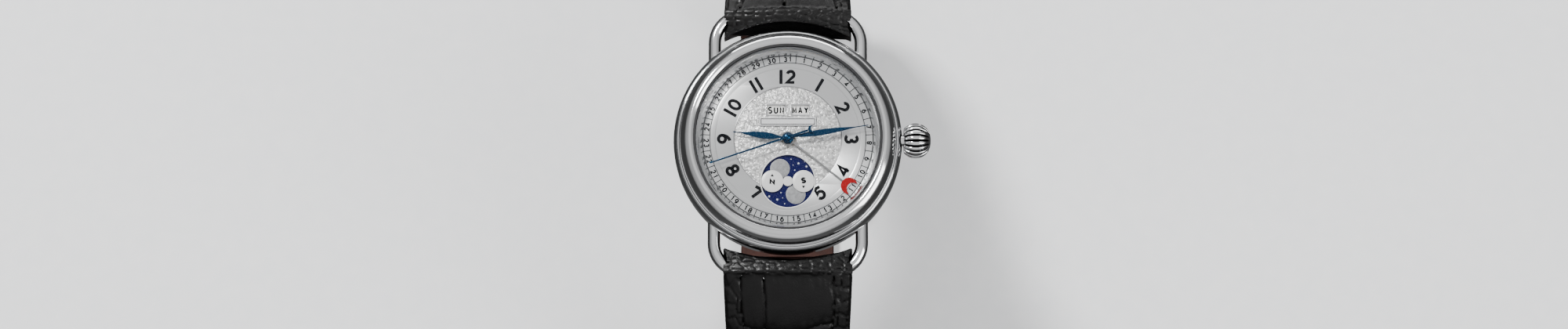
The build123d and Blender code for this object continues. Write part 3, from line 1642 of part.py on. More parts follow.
pieces = {
    "case_middle": case_middle,
    "lug_wire_top": lug_wire_top,
    "lug_wire_bottom": lug_wire_bottom,
    "bezel": bezel,
    "crystal": crystal,
    "crystal_gasket": crystal_gasket,
    "rehaut": rehaut,
    "dial": dial,
    "dial_centre": dial_centre,
    "dial_plaque": dial_plaque,
    "moon_mask": moon_mask,
    "case_back": case_back,
    "back_crystal": back_crystal,
    "back_gasket": back_gasket,
    "crown_tube": crown_tube,
    "movement_ring": movement_ring,
    "main_plate": main_plate,
    "barrel_bridge": barrel_bridge,
    "train_bridge": train_bridge,
    "balance_cock": balance_cock,
    "jewels": jewels,
    "movement_screws": movement_screws,
    "case_clamps": case_clamps,
    "calendar_plate": calendar_plate,
    "rotor_bearing": rotor_bearing,
    "hairspring": hairspring,
    "hour_hand": hour_hand,
    "minute_hand": minute_hand,
    "seconds_hand": seconds_hand,
    "date_hand": date_hand,
    "hour_wheel": hour_wheel,
    "cannon_pinion": cannon_pinion,
    "fourth_wheel": fourth_wheel,
    "date_wheel": date_wheel,
    "moon_disc": moon_disc,
    "day_disc": day_disc,
    "month_disc": month_disc,
    "barrel": barrel,
    "great_wheel": great_wheel,
    "third_wheel": third_wheel,
    "escape_wheel": escape_wheel,
    "pallet_fork": pallet_fork,
    "balance_wheel": balance_wheel,
    "rotor": rotor,
    "crown": crown,
    "stem": stem,
    "crown_gasket": crown_gasket,
    "date_corrector": date_corrector,
    "day_corrector": day_corrector,
    "month_corrector": month_corrector,
    "moon_corrector": moon_corrector,
    "strap_top": strap_top,
    "strap_bottom": strap_bottom,
    "lining_top": lining_top,
    "lining_bottom": lining_bottom,
    "fixed_keeper": fixed_keeper,
    "free_keeper": free_keeper,
    "buckle_frame": buckle_frame,
    "buckle_tongue": buckle_tongue,
    "buckle_bar": buckle_bar,
}

for label, piece in pieces.items():
    piece.part.label = label
    export_step(piece.part, f"parts/{label}.step")

print("strap places (out, height, turn):")
for side, length in ((1, bar_at), (1, fixed_keeper_at), (1, free_keeper_at), (-1, long_length)):
    print(side, length, [round(value, 3) for value in route(side, length)])
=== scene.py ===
"""Moon phase wristwatch, dressed for its render: steel case, silver dial, blued hands and a leather strap."""

from __future__ import annotations

import logging
import math
from collections.abc import Callable, Iterable
from dataclasses import dataclass, field
from enum import Enum

import bpy
import numpy as np
from mathutils import Matrix, Vector


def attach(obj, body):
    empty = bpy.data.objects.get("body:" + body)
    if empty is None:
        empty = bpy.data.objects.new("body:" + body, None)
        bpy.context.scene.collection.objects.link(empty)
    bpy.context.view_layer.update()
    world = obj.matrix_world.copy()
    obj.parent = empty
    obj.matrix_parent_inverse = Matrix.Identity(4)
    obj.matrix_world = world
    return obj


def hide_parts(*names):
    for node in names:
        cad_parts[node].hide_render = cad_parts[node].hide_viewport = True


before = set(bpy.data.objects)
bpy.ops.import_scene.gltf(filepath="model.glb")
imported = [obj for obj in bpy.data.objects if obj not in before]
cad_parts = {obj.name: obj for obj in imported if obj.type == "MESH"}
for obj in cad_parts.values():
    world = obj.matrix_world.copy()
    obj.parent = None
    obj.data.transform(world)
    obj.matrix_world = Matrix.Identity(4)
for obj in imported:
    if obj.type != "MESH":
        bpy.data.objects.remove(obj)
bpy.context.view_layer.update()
MM = 0.001
MERGE = 0.0005
LOG = logging.getLogger("watch")

Point = tuple[float, float]
Spot = tuple[float, float, float]
Loop = list[Point]
Colour = tuple[float, float, float]
Node = bpy.types.Node
Piece = bpy.types.Object


# ---------------------------------------------------------------- finishes


class NodeBoard:
    """The node tree of a material or of the world, with short calls to add and join nodes."""

    def __init__(self, owner: bpy.types.Material | bpy.types.World, output: str = "OutputMaterial") -> None:
        """Start an empty node tree.

        Args:
            owner: What the nodes belong to.
            output: The kind of its output node.
        """
        owner.use_nodes = True
        self.owner = owner
        self.tree = owner.node_tree
        self.tree.nodes.clear()
        self.out = self.add(output)

    def add(self, kind: str, **values: object) -> Node:
        """Add a node.

        Args:
            kind: The node type without its ShaderNode prefix.
            values: Attributes by name, and inputs as in_Name with spaces as underscores.

        Returns:
            The new node.
        """
        node = self.tree.nodes.new("ShaderNode" + kind)
        for key, value in values.items():
            if key.startswith("in_"):
                node.inputs[key[3:].replace("_", " ")].default_value = value
            else:
                setattr(node, key, value)
        return node

    def join(self, a: Node, out: str | int, b: Node, into: str | int) -> Node:
        """Link an output of one node to an input of another, and give back the other."""
        self.tree.links.new(a.outputs[out], b.inputs[into])
        return b

    def coords(self, scale: Spot = (1, 1, 1), turn: float = 0.0) -> Node:
        """Object coordinates, scaled along each axis and turned about Z by radians."""
        mapping = self.add("Mapping", in_Scale=scale, in_Rotation=(0, 0, turn))
        return self.join(self.add("TexCoord"), "Object", mapping, "Vector")

    def texture(self, kind: str, vector: Node, scale: float, **values: object) -> Node:
        """A texture node of some kind on a vector, with its cells per metre and more values as add takes them."""
        return self.join(vector, 0, self.add(kind, in_Scale=scale, **values), "Vector")

    def noise(self, vector: Node, scale: float, detail: float) -> Node:
        """A noise texture with so many octaves of detail."""
        return self.texture("TexNoise", vector, scale, in_Detail=detail)

    def spread(self, source: Node, out: str | int, to: Point, given: Point = (0.0, 1.0)) -> Node:
        """Map a node's output from the given lowest and highest value to others."""
        node = self.add("MapRange", in_To_Min=to[0], in_To_Max=to[1], in_From_Min=given[0], in_From_Max=given[1])
        return self.join(source, out, node, "Value")

    def tint(self, source: Node, out: str | int, stops: list[tuple[float, Colour]]) -> Node:
        """Map a value to colours.

        Args:
            source: The node that gives the value.
            out: Its output.
            stops: Places and colours.

        Returns:
            The colour ramp node.
        """
        node = self.add("ValToRGB")
        ramp = node.color_ramp
        while len(ramp.elements) < len(stops):
            ramp.elements.new(0.5)
        for element, (place, colour) in zip(ramp.elements, stops):
            element.position = place
            element.color = (*colour, 1.0)
        return self.join(source, out, node, "Fac")

    def paint(self, shader: Node, tint: Node, rough: Node) -> None:
        """Drive a shader's colour by a ramp and its roughness by a range."""
        self.join(tint, "Color", shader, "Base Color")
        self.join(rough, "Result", shader, "Roughness")

    def bump(self, shader: Node, source: Node, out: str | int, depth: float, strength: float = 1.0) -> None:
        """Drive a shader's normal by a node's output, with its depth in metres and the share of the effect."""
        node = self.join(source, out, self.add("Bump", in_Distance=depth, in_Strength=strength), "Height")
        self.join(node, "Normal", shader, "Normal")

    def finish(self, shader: Node) -> bpy.types.Material | bpy.types.World:
        """Join the shader to the output and give back what the nodes belong to."""
        self.join(shader, 0, self.out, "Surface")
        return self.owner


def scaled(colour: Colour, share: float) -> Colour:
    """A colour made darker or lighter, no channel above one."""
    return tuple(min(1.0, channel * share) for channel in colour)


@dataclass(frozen=True)
class Finish:
    """A finish that makes one shared material and names a slot of the record."""

    name: str
    slot: str
    colour: Colour
    roughness: float

    def shade(self, board: NodeBoard) -> Node:
        """Add the finish's nodes to a board and give back the shader."""
        raise NotImplementedError

    def material(self) -> bpy.types.Material:
        """The shared material, made on first use.

        Returns:
            The material.
        """
        title = "dressed_" + self.name
        made = bpy.data.materials.get(title)
        if made is None:
            board = NodeBoard(bpy.data.materials.new(title))
            made = board.finish(self.shade(board))
        return made


@dataclass(frozen=True)
class Polished(Finish):
    """Polished metal with faint hairlines and a little uneven gloss."""

    wear: float = 0.05

    def shade(self, board: NodeBoard) -> Node:
        """Add the polished metal's nodes.

        Args:
            board: The material's board.

        Returns:
            The shader.
        """
        shader = board.add("BsdfPrincipled", in_Metallic=1.0)
        haze = board.noise(board.coords(), 220.0, 3.0)
        hair = board.noise(board.coords((900.0, 9000.0, 4000.0), 0.6), 1.0, 2.0)
        tint = board.tint(haze, "Fac", [(0.3, scaled(self.colour, 0.96)), (0.7, self.colour)])
        board.paint(shader, tint, board.spread(haze, "Fac", (self.roughness, self.roughness + self.wear), (0.35, 0.75)))
        board.bump(shader, hair, "Fac", 0.0000003, 0.25)
        return shader


@dataclass(frozen=True)
class Brushed(Finish):
    """Metal with parallel stripes: fine brushing, or the wide stripes of a movement's bridges."""

    stripes: float = 900.0
    depth: float = 0.000004
    turn: float = 0.0

    def shade(self, board: NodeBoard) -> Node:
        """Add the brushed metal's nodes.

        Args:
            board: The material's board.

        Returns:
            The shader.
        """
        shader = board.add("BsdfPrincipled", in_Metallic=1.0)
        place = board.coords(turn=self.turn)
        wave = board.texture("TexWave", place, self.stripes / 6.2832, in_Distortion=0.15, in_Detail=1.0)
        grain = board.noise(board.coords((400.0, 9000.0, 400.0), self.turn), 1.0, 2.0)
        tint = board.tint(wave, "Fac", [(0.1, scaled(self.colour, 0.82)), (0.9, self.colour)])
        board.paint(shader, tint, board.spread(grain, "Fac", (self.roughness, self.roughness + 0.14)))
        board.bump(shader, wave, "Fac", self.depth, 0.7)
        return shader


@dataclass(frozen=True)
class Silvered(Finish):
    """Silvered dial metal: fine sand grain, or a coarse hammered grain."""

    grain: float = 9000.0
    depth: float = 0.000006
    metal: float = 0.55
    shadow: float = 0.86
    sunburst: float = 0.0

    def shade(self, board: NodeBoard) -> Node:
        """Add the silvered metal's nodes.

        Args:
            board: The material's board.

        Returns:
            The shader.
        """
        shader = board.add("BsdfPrincipled", in_Metallic=self.metal)
        place = board.coords()
        grain = board.noise(place, self.grain, 2.0)
        broad = board.noise(place, 160.0, 2.0)
        tint = board.tint(grain, "Fac", [(0.36, scaled(self.colour, self.shadow)), (0.62, self.colour)])
        board.paint(shader, tint, board.spread(broad, "Fac", (self.roughness, self.roughness + 0.08)))
        board.bump(shader, grain, "Fac", self.depth)
        if self.sunburst:
            shader.inputs["Anisotropic"].default_value = self.sunburst
            shader.inputs["Anisotropic Rotation"].default_value = 0.25
            tangent = board.add("Tangent", direction_type="RADIAL", axis="Z")
            board.join(tangent, "Tangent", shader, "Tangent")
        return shader


@dataclass(frozen=True)
class Lacquer(Finish):
    """Glossy paint, print or moulded rubber with a fine unevenness."""

    metal: float = 0.0
    coat: float = 0.0
    sheen: float = 0.3

    def shade(self, board: NodeBoard) -> Node:
        """Add the lacquer's nodes.

        Args:
            board: The material's board.

        Returns:
            The shader.
        """
        shader = board.add(
            "BsdfPrincipled", in_Metallic=self.metal, in_Coat_Weight=self.coat, in_Specular_IOR_Level=self.sheen
        )
        grain = board.noise(board.coords(), 2600.0, 3.0)
        tint = board.tint(grain, "Fac", [(0.3, scaled(self.colour, 0.86)), (0.7, self.colour)])
        board.paint(shader, tint, board.spread(grain, "Fac", (self.roughness, self.roughness + 0.1)))
        board.bump(shader, grain, "Fac", 0.000003, 0.4)
        return shader


@dataclass(frozen=True)
class ClearGlass(Finish):
    """Clear coated sapphire."""

    cover: float = 0.05

    def shade(self, board: NodeBoard) -> Node:
        """Add the glass's nodes.

        Args:
            board: The material's board.

        Returns:
            The shader.
        """
        shader = board.add("BsdfPrincipled", in_IOR=1.6, in_Alpha=self.cover)
        smear = board.noise(board.coords(), 90.0, 2.0)
        tint = board.tint(smear, "Fac", [(0.3, self.colour), (0.7, scaled(self.colour, 1.03))])
        board.paint(shader, tint, board.spread(smear, "Fac", (self.roughness, self.roughness + 0.03)))
        return shader


@dataclass(frozen=True)
class Leather(Finish):
    """Leather whose grooves come from the mesh and whose pores come from the nodes."""

    pores: float = 5200.0
    depth: float = 0.00004
    coat: float = 0.1
    sheen: float = 0.2

    def shade(self, board: NodeBoard) -> Node:
        """Add the leather's nodes.

        Args:
            board: The material's board.

        Returns:
            The shader.
        """
        shader = board.add(
            "BsdfPrincipled", in_Coat_Weight=self.coat, in_Coat_Roughness=0.22, in_Specular_IOR_Level=self.sheen
        )
        place = board.coords()
        creases = board.texture("TexVoronoi", place, self.pores * 0.32, feature="DISTANCE_TO_EDGE")
        grain = board.noise(place, self.pores, 5.0)
        broad = board.noise(place, 420.0, 3.0)
        tint = board.tint(broad, "Fac", [(0.3, scaled(self.colour, 0.45)), (0.72, self.colour)])
        board.paint(shader, tint, board.spread(grain, "Fac", (self.roughness, self.roughness + 0.18), (0.3, 0.7)))
        height = board.add("Math", operation="MULTIPLY_ADD")
        height.inputs[1].default_value = 0.6
        board.join(grain, "Fac", height, 0)
        board.join(board.spread(creases, "Distance", (0.0, 0.5), (0.0, 0.12)), "Result", height, 2)
        board.bump(shader, height, "Value", self.depth, 0.55)
        return shader


class Look(Enum):
    """The watch's finishes."""

    STEEL = Polished("polished_steel", "polished_steel", (0.68, 0.685, 0.69), 0.08, 0.05)
    MIRROR = Polished("mirror_steel", "mirror_steel", (0.66, 0.665, 0.67), 0.17, 0.04)
    # painted shade: near-black steel that stands for the shade in the crown's flutes
    FLUTE = Polished("painted_flute_shade", "polished_steel", (0.035, 0.035, 0.037), 0.2, 0.1)
    # painted shade: dark steel for the plaque's bevel and the floor of its engraved line
    SHADE = Polished("painted_edge_shade", "dial_silver", (0.14, 0.14, 0.145), 0.25, 0.1)
    SATIN = Brushed("brushed_metal", "brushed_metal", (0.62, 0.63, 0.64), 0.24)
    BRIDGE = Brushed("striped_bridge", "rhodium_plate", (0.74, 0.74, 0.73), 0.2, 2600.0, 0.00001, 0.5)
    PLATE = Brushed("grained_plate", "rhodium_plate", (0.62, 0.62, 0.61), 0.3, 9000.0, 0.000004, 0.2)
    BRASS = Brushed("gilt_brass", "brass_plate", (0.78, 0.58, 0.26), 0.24, 4000.0, 0.000002, 0.9)
    SILVER = Silvered("dial_silver", "dial_silver", (0.55, 0.555, 0.555), 0.26, 9000.0, 0.000003, 0.7, 0.93, 0.75)
    HAMMERED = Silvered("grained_silver", "dial_silver", (0.66, 0.66, 0.65), 0.3, 1900.0, 0.0003, 0.45, 0.5)
    BARE = Silvered("plaque_silver", "dial_silver", (0.78, 0.785, 0.79), 0.22, 9000.0, 0.000002, 0.5, 0.95)
    PEARL = Silvered("letter_disc_silver", "dial_silver", (0.62, 0.62, 0.61), 0.34, 6000.0, 0.000004, 0.1, 0.95)
    MOON = Silvered("moon_silver", "night_blue", (0.24, 0.245, 0.25), 0.45, 2300.0, 0.00005, 0.1, 0.75)
    BLUED = Polished("blued_steel", "blued_steel", (0.006, 0.042, 0.1), 0.18, 0.06)
    INK = Lacquer("black_ink", "dial_silver", (0.0012, 0.0012, 0.0014), 0.45, 0.0, 0.0, 0.06)
    NIGHT = Lacquer("night_blue", "night_blue", (0.0002, 0.001, 0.05), 0.3, 0.0, 0.03, 0.1)
    STAR = Lacquer("star_silver", "night_blue", (0.62, 0.66, 0.72), 0.3, 0.3)
    RED = Lacquer("red_crescent", "date_red", (0.28, 0.0004, 0.001), 0.3, 0.0, 0.05, 0.12)
    POINTER = Polished("date_pointer", "date_red", (0.36, 0.36, 0.36), 0.16, 0.06)
    DISC = Lacquer("disc_white", "disc_white", (0.74, 0.74, 0.72), 0.4)
    RUBBER = Lacquer("gasket_rubber", "gasket_rubber", (0.012, 0.012, 0.013), 0.5)
    RUBY = Lacquer("ruby", "ruby", (0.42, 0.01, 0.05), 0.08, 0.0, 1.0, 0.5)
    GLASS = ClearGlass("sapphire", "sapphire", (0.03, 0.035, 0.045), 0.01)
    BLACK = Leather("black_leather", "black_leather", (0.0022, 0.002, 0.002), 0.3)
    LINING = Leather("brown_lining", "brown_lining", (0.05, 0.017, 0.012), 0.55, 7000.0, 0.00002, 0.02, 0.2)


# ---------------------------------------------------------------- modelling helpers


def stand(name: str, data: bpy.types.ID) -> Piece:
    """A new object in the scene.

    Args:
        name: Its name.
        data: What it shows.

    Returns:
        The object.
    """
    obj = bpy.data.objects.new(name, data)
    bpy.context.collection.objects.link(obj)
    return obj


def choose(obj: Piece) -> None:
    """Leave edit mode, select one object and make it active.

    Args:
        obj: The object.
    """
    if bpy.context.object and bpy.context.object.mode != "OBJECT":
        bpy.ops.object.mode_set(mode="OBJECT")
    bpy.ops.object.select_all(action="DESELECT")
    obj.select_set(True)
    bpy.context.view_layer.objects.active = obj


def mend(obj: Piece, fill: bool = False) -> Piece:
    """Merge a mesh's double points and turn its faces outward.

    Args:
        obj: The mesh object.
        fill: Whether its open ends are closed.

    Returns:
        The same object.
    """
    choose(obj)
    bpy.ops.object.mode_set(mode="EDIT")
    bpy.ops.mesh.select_all(action="SELECT")
    bpy.ops.mesh.remove_doubles(threshold=MERGE)
    if fill:
        bpy.ops.mesh.fill_holes(sides=0)
        bpy.ops.mesh.select_all(action="SELECT")
    bpy.ops.mesh.normals_make_consistent(inside=False)
    bpy.ops.object.mode_set(mode="OBJECT")
    return obj


def dress(
    obj: Piece, name: str, look: Look, body: str, *nodes: str, place: Matrix | None = None, smooth: float = 35.0
) -> Piece:
    """Bring a mesh from millimetres to metres in the watch's frame, and give it its finish and its body.

    Args:
        obj: The mesh object.
        name: The piece's name.
        look: Its finish.
        body: The body it rides on.
        nodes: The CAD nodes it replaces.
        place: Where it goes, in millimetres.
        smooth: The angle in degrees below which edges are smooth.

    Returns:
        The same object.
    """
    choose(obj)
    obj.name = obj.data.name = name
    obj.data.transform(Matrix.Scale(MM, 4) @ (place or Matrix.Identity(4)) @ obj.matrix_world)
    obj.matrix_world = Matrix.Identity(4)
    bpy.ops.object.shade_smooth_by_angle(angle=math.radians(smooth))
    obj.data.materials.clear()
    obj.data.materials.append(look.value.material())
    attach(obj, body)
    if nodes:
        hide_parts(*nodes)
    LOG.info("%s is dressed and rides on %s", name, body)
    return obj


def inlay(obj: Piece, look: Look, chosen: Callable[[Vector, Vector], bool]) -> None:
    """Give some of a dressed piece's faces a second finish.

    Args:
        obj: The piece.
        look: The second finish.
        chosen: Tells from a face's centre in millimetres and its normal whether the face takes it.
    """
    obj.data.materials.append(look.value.material())
    for face in obj.data.polygons:
        face.material_index = int(chosen(face.center / MM, face.normal))


def join(pieces: list[Piece]) -> Piece:
    """Join mesh objects into the first.

    Args:
        pieces: The objects.

    Returns:
        The joined object.
    """
    choose(pieces[0])
    for piece in pieces[1:]:
        piece.select_set(True)
    if len(pieces) > 1:
        bpy.ops.object.join()
    return pieces[0]


def moved(x: float = 0.0, y: float = 0.0, z: float = 0.0) -> Matrix:
    """A move in millimetres."""
    return Matrix.Translation((x, y, z))


def turned(degrees: float, axis: str = "Z") -> Matrix:
    """A turn about an axis."""
    return Matrix.Rotation(math.radians(degrees), 4, axis)


def laid(obj: Piece, place: Matrix) -> Piece:
    """Move a mesh to its place and give it back."""
    obj.data.transform(place)
    return obj


def polar(radius: float, turn: float, x: float = 0.0, y: float = 0.0) -> Point:
    """The point at a distance and at a turn in radians from (x, y)."""
    return x + radius * math.cos(turn), y + radius * math.sin(turn)


def arc(start: Point, middle: Point, end: Point, steps: int = 8) -> Loop:
    """Points on the circle through three points, without the last.

    Args:
        start: First point.
        middle: A point between.
        end: Last point.
        steps: Number of parts.

    Returns:
        The points from start up to but not including end.
    """
    (ax, ay), (bx, by), (cx, cy) = start, middle, end
    d = 2 * (ax * (by - cy) + bx * (cy - ay) + cx * (ay - by))
    ux = ((ax**2 + ay**2) * (by - cy) + (bx**2 + by**2) * (cy - ay) + (cx**2 + cy**2) * (ay - by)) / d
    uy = ((ax**2 + ay**2) * (cx - bx) + (bx**2 + by**2) * (ax - cx) + (cx**2 + cy**2) * (bx - ax)) / d
    first, mid, last = (math.atan2(y - uy, x - ux) for x, y in (start, middle, end))
    turn = (last - first) % math.tau
    if (mid - first) % math.tau > turn:
        turn -= math.tau
    radius = math.hypot(ax - ux, ay - uy)
    return [polar(radius, first + turn * i / steps, ux, uy) for i in range(steps)]


def circle(radius: float, x: float = 0.0, y: float = 0.0, count: int = 96) -> Loop:
    """A circle as a loop of so many points."""
    return [polar(radius, math.tau * i / count, x, y) for i in range(count)]


def zigzag(outer: float, inner: float, count: int, start: float = 0.0) -> Loop:
    """A loop of points that are far and near in turn, such as teeth or a star, from a start in radians."""
    return [polar(inner if i % 2 else outer, start + math.tau * i / count) for i in range(count)]


def box_loop(width: float, height: float, x: float = 0.0, y: float = 0.0, round_by: float = 0.0) -> Loop:
    """A rectangle as a loop, with round corners if asked.

    Args:
        width: Along X.
        height: Along Y.
        x: Centre x.
        y: Centre y.
        round_by: Corner radius.

    Returns:
        The loop.
    """
    a, b = width / 2 - round_by, height / 2 - round_by
    points = []
    for corner, (sx, sy) in enumerate(((1, 1), (-1, 1), (-1, -1), (1, -1))):
        for i in range(7 if round_by else 1):
            points.append(polar(round_by, math.pi / 2 * (corner + i / 6), x + sx * a, y + sy * b))
    return points


def bow(x: float, y: float, wide: float, high: float, first: float, last: float) -> Loop:
    """Points on part of an ellipse.

    Args:
        x: Centre x.
        y: Centre y.
        wide: Half width.
        high: Half height.
        first: First angle in degrees.
        last: Last angle in degrees.

    Returns:
        The points, both ends included.
    """
    steps = max(4, int(abs(last - first) / 12))
    turns = [math.radians(first + (last - first) * i / steps) for i in range(steps + 1)]
    return [(x + wide * math.cos(turn), y + high * math.sin(turn)) for turn in turns]


def curve_mesh(lines: Iterable[Iterable[Spot]], closed: bool, **settings: object) -> Piece:
    """A mesh from poly lines, through a curve with the given settings.

    Args:
        lines: The lines' points.
        closed: Whether each line ends where it starts.
        settings: The curve's own settings.

    Returns:
        The mesh object, in millimetres.
    """
    curve = bpy.data.curves.new("line", "CURVE")
    for key, value in settings.items():
        setattr(curve, key, value)
    for line in lines:
        spots = list(line)
        spline = curve.splines.new("POLY")
        spline.points.add(len(spots) - 1)
        for point, spot in zip(spline.points, spots):
            point.co = (*spot, 1)
        spline.use_cyclic_u = closed
    choose(stand("line", curve))
    bpy.ops.object.convert(target="MESH")
    return mend(bpy.context.object)


def flat(loops: list[Loop], low: float, high: float, edge: float = 0.0) -> Piece:
    """A flat piece from an outline with holes, with rounded edges.

    Args:
        loops: The outline and its holes.
        low: Its lower face.
        high: Its upper face.
        edge: The edges' rounding.

    Returns:
        The mesh object, in millimetres.
    """
    obj = curve_mesh(
        [[(x, y, 0.0) for x, y in loop] for loop in loops], True, dimensions="2D", fill_mode="BOTH",
        extrude=(high - low) / 2 - edge, bevel_depth=edge, offset=-edge, bevel_resolution=2,
    )
    return laid(obj, moved(z=(low + high) / 2))


def tube(points: Iterable[Spot], radius: float) -> Piece:
    """A round rod of a given radius along points."""
    return curve_mesh([points], False, dimensions="3D", bevel_depth=radius, bevel_resolution=8, use_fill_caps=True)


def lathe(profile: Loop, steps: int = 160) -> Piece:
    """A turned piece about Z.

    Args:
        profile: The closed section as (radius, height).
        steps: Facets round it.

    Returns:
        The mesh object, in millimetres.
    """
    bpy.ops.mesh.primitive_circle_add(vertices=len(profile), radius=1.0)
    obj = bpy.context.object
    for vertex, (radius, height) in zip(obj.data.vertices, profile):
        vertex.co = (max(radius, 0.0), 0.0, height)
    bpy.ops.object.mode_set(mode="EDIT")
    bpy.ops.mesh.select_all(action="SELECT")
    bpy.ops.mesh.spin(steps=steps, angle=math.tau, center=(0, 0, 0), axis=(0, 0, 1))
    return mend(obj)


def row_of(x: np.ndarray, y: np.ndarray | float, z: np.ndarray | float) -> np.ndarray:
    """A row of points, one for each x."""
    return np.stack(np.broadcast_arrays(x, y, z), 1)


def skin(rows: list[np.ndarray]) -> Piece:
    """Closed rows of points as a surface: a primitive grid whose points are moved to their places.

    Args:
        rows: The rows along the piece, all with as many points round it, in millimetres.

    Returns:
        The mesh object with closed ends, in millimetres.
    """
    points = np.array(rows)
    points = np.concatenate([points, points[:, :1]], axis=1)
    bpy.ops.mesh.primitive_grid_add(x_subdivisions=points.shape[1] - 1, y_subdivisions=points.shape[0] - 1, size=2.0)
    obj = bpy.context.object
    obj.data.vertices.foreach_set("co", points.reshape(-1, 3).astype(np.float32).ravel())
    obj.data.update()
    return mend(obj, fill=True)


def peg(radius: float, depth: float, place: Matrix, sides: int = 32) -> Piece:
    """A round tool for cutting: its depth runs along Z before it goes to its place."""
    bpy.ops.mesh.primitive_cylinder_add(vertices=sides, radius=radius, depth=depth)
    return laid(bpy.context.object, place)


def block(x: float, y: float, z: float, place: Matrix) -> Piece:
    """A square tool for cutting, with its three sizes and its place."""
    bpy.ops.mesh.primitive_cube_add(size=1.0)
    return laid(bpy.context.object, place @ Matrix.Diagonal((x, y, z, 1)))


def carve(obj: Piece, tool: Piece, solver: str = "EXACT") -> None:
    """Cut a tool out of a piece.

    Args:
        obj: The piece.
        tool: The tool, which is deleted.
        solver: The modifier's way of working.
    """
    modifier = obj.modifiers.new("cut", "BOOLEAN")
    modifier.operation = "DIFFERENCE"
    modifier.solver = solver
    modifier.object = tool
    choose(obj)
    bpy.ops.object.modifier_apply(modifier=modifier.name)
    bpy.data.objects.remove(tool)


STEM_AND_BOWL: list[Loop] = [
    [(-1, 0), (-1, 1), (0.1, 1)] + bow(0.1, 0.74, 0.9, 0.26, 80, -80) + [(0.1, 0.48), (-1, 0.48)]
]
STROKES: dict[str, list[Loop]] = {
    "0": [bow(0, 0.5, 1, 0.5, 0, 360)],
    "1": [[(-0.6, 0.8), (0.1, 1), (0.1, 0)]],
    "2": [bow(0, 0.7, 0.92, 0.3, 165, -35) + [(-1, 0), (1, 0)]],
    "3": [bow(0, 0.75, 0.85, 0.25, 150, -90), bow(0, 0.25, 0.97, 0.25, 90, -150)],
    "4": [[(0.4, 0), (0.4, 1), (-1, 0.27), (1, 0.27)]],
    "5": [[(0.8, 1), (-0.68, 1), (-0.8, 0.5)] + bow(-0.02, 0.32, 0.98, 0.32, 128, -150)],
    "6": [bow(0, 0.31, 1, 0.31, 0, 360), bow(0.75, 0.31, 1.75, 0.69, 180, 98)],
    "7": [[(-1, 1), (1, 1), (-0.35, 0)]],
    "8": [bow(0, 0.75, 0.8, 0.25, 0, 360), bow(0, 0.25, 1, 0.25, 0, 360)],
    "9": [bow(0, 0.69, 1, 0.31, 0, 360), bow(-0.75, 0.69, 1.75, 0.69, 0, -82)],
    "A": [[(-1, 0), (0, 1), (1, 0)], [(-0.62, 0.32), (0.62, 0.32)]],
    "C": [bow(0, 0.5, 1, 0.5, 50, 310)],
    "D": [[(-1, 0), (-1, 1), (-0.1, 1)] + bow(-0.1, 0.5, 1.1, 0.5, 80, -80) + [(-0.1, 0), (-1, 0)]],
    "E": [[(1, 1), (-1, 1), (-1, 0), (1, 0)], [(-1, 0.52), (0.7, 0.52)]],
    "F": [[(1, 1), (-1, 1), (-1, 0)], [(-1, 0.52), (0.7, 0.52)]],
    "G": [bow(0, 0.5, 1, 0.5, 45, 330) + [(1, 0.45), (0.2, 0.45)]],
    "H": [[(-1, 0), (-1, 1)], [(1, 0), (1, 1)], [(-1, 0.5), (1, 0.5)]],
    "I": [[(0, 0), (0, 1)]],
    "J": [[(0.8, 1)] + bow(-0.1, 0.3, 0.9, 0.3, 0, -160)],
    "L": [[(-1, 1), (-1, 0), (1, 0)]],
    "M": [[(-1, 0), (-1, 1), (0, 0.2), (1, 1), (1, 0)]],
    "N": [[(-1, 0), (-1, 1), (1, 0), (1, 1)]],
    "O": [bow(0, 0.5, 1, 0.5, 0, 360)],
    "P": STEM_AND_BOWL,
    "R": STEM_AND_BOWL + [[(0, 0.48), (1, 0)]],
    "S": [bow(0, 0.75, 0.9, 0.25, 30, 270), bow(0, 0.25, 0.97, 0.25, 90, -150)],
    "T": [[(-1, 1), (1, 1)], [(0, 1), (0, 0)]],
    "U": [[(-1, 1)] + bow(0, 0.33, 1, 0.33, 180, 360) + [(1, 1)]],
    "V": [[(-1, 1), (0, 0), (1, 1)]],
    "W": [[(-1, 1), (-0.5, 0), (0, 0.8), (0.5, 0), (1, 1)]],
    "Y": [[(-1, 1), (0, 0.48), (1, 1)], [(0, 0.48), (0, 0)]],
}


def ribbon(line: Loop, width: float) -> list[Loop]:
    """The outline of a stroke of even width.

    Args:
        line: Its centre line.
        width: Its width.

    Returns:
        One loop, or two if the line comes back to its start.
    """
    closed = math.dist(line[0], line[-1]) < 1e-6
    points = [Vector(p) for p in (line[:-1] if closed else line)]
    count = len(points)
    left, right = [], []
    for i, point in enumerate(points):
        before = point - points[i - 1] if i or closed else points[1] - point
        after = points[(i + 1) % count] - point if i < count - 1 or closed else before
        before, after = before.normalized(), after.normalized()
        normal = Vector((-before.y - after.y, before.x + after.x)).normalized()
        reach = width / 2 / max(normal.dot(Vector((-before.y, before.x))), 0.5)
        left.append(tuple(point + normal * reach))
        right.append(tuple(point - normal * reach))
    return [left, right] if closed else [left + right[::-1]]


def lettering(words: str, height: float, stroke: float, wide: float = 0.68, depth: float = 0.02) -> Piece:
    """Plain figures or capitals as a thin mesh, centred on the origin, its foot at height 0.

    Args:
        words: The figures or letters.
        height: Their height in millimetres.
        stroke: The strokes' width.
        wide: Each one's width as a share of the height.
        depth: Their thickness.

    Returns:
        The mesh object, in millimetres.
    """
    half = (wide * height - stroke) / 2
    pitch = wide * height + stroke * 0.85
    start = -pitch * (len(words) - 1) / 2
    pieces = []
    for place, sign in enumerate(words):
        for line in STROKES[sign]:
            points = [(start + place * pitch + half * x, (height - stroke) * (y - 0.5)) for x, y in line]
            pieces.append(flat(ribbon(points, stroke), 0.0, depth))
    return join(pieces)


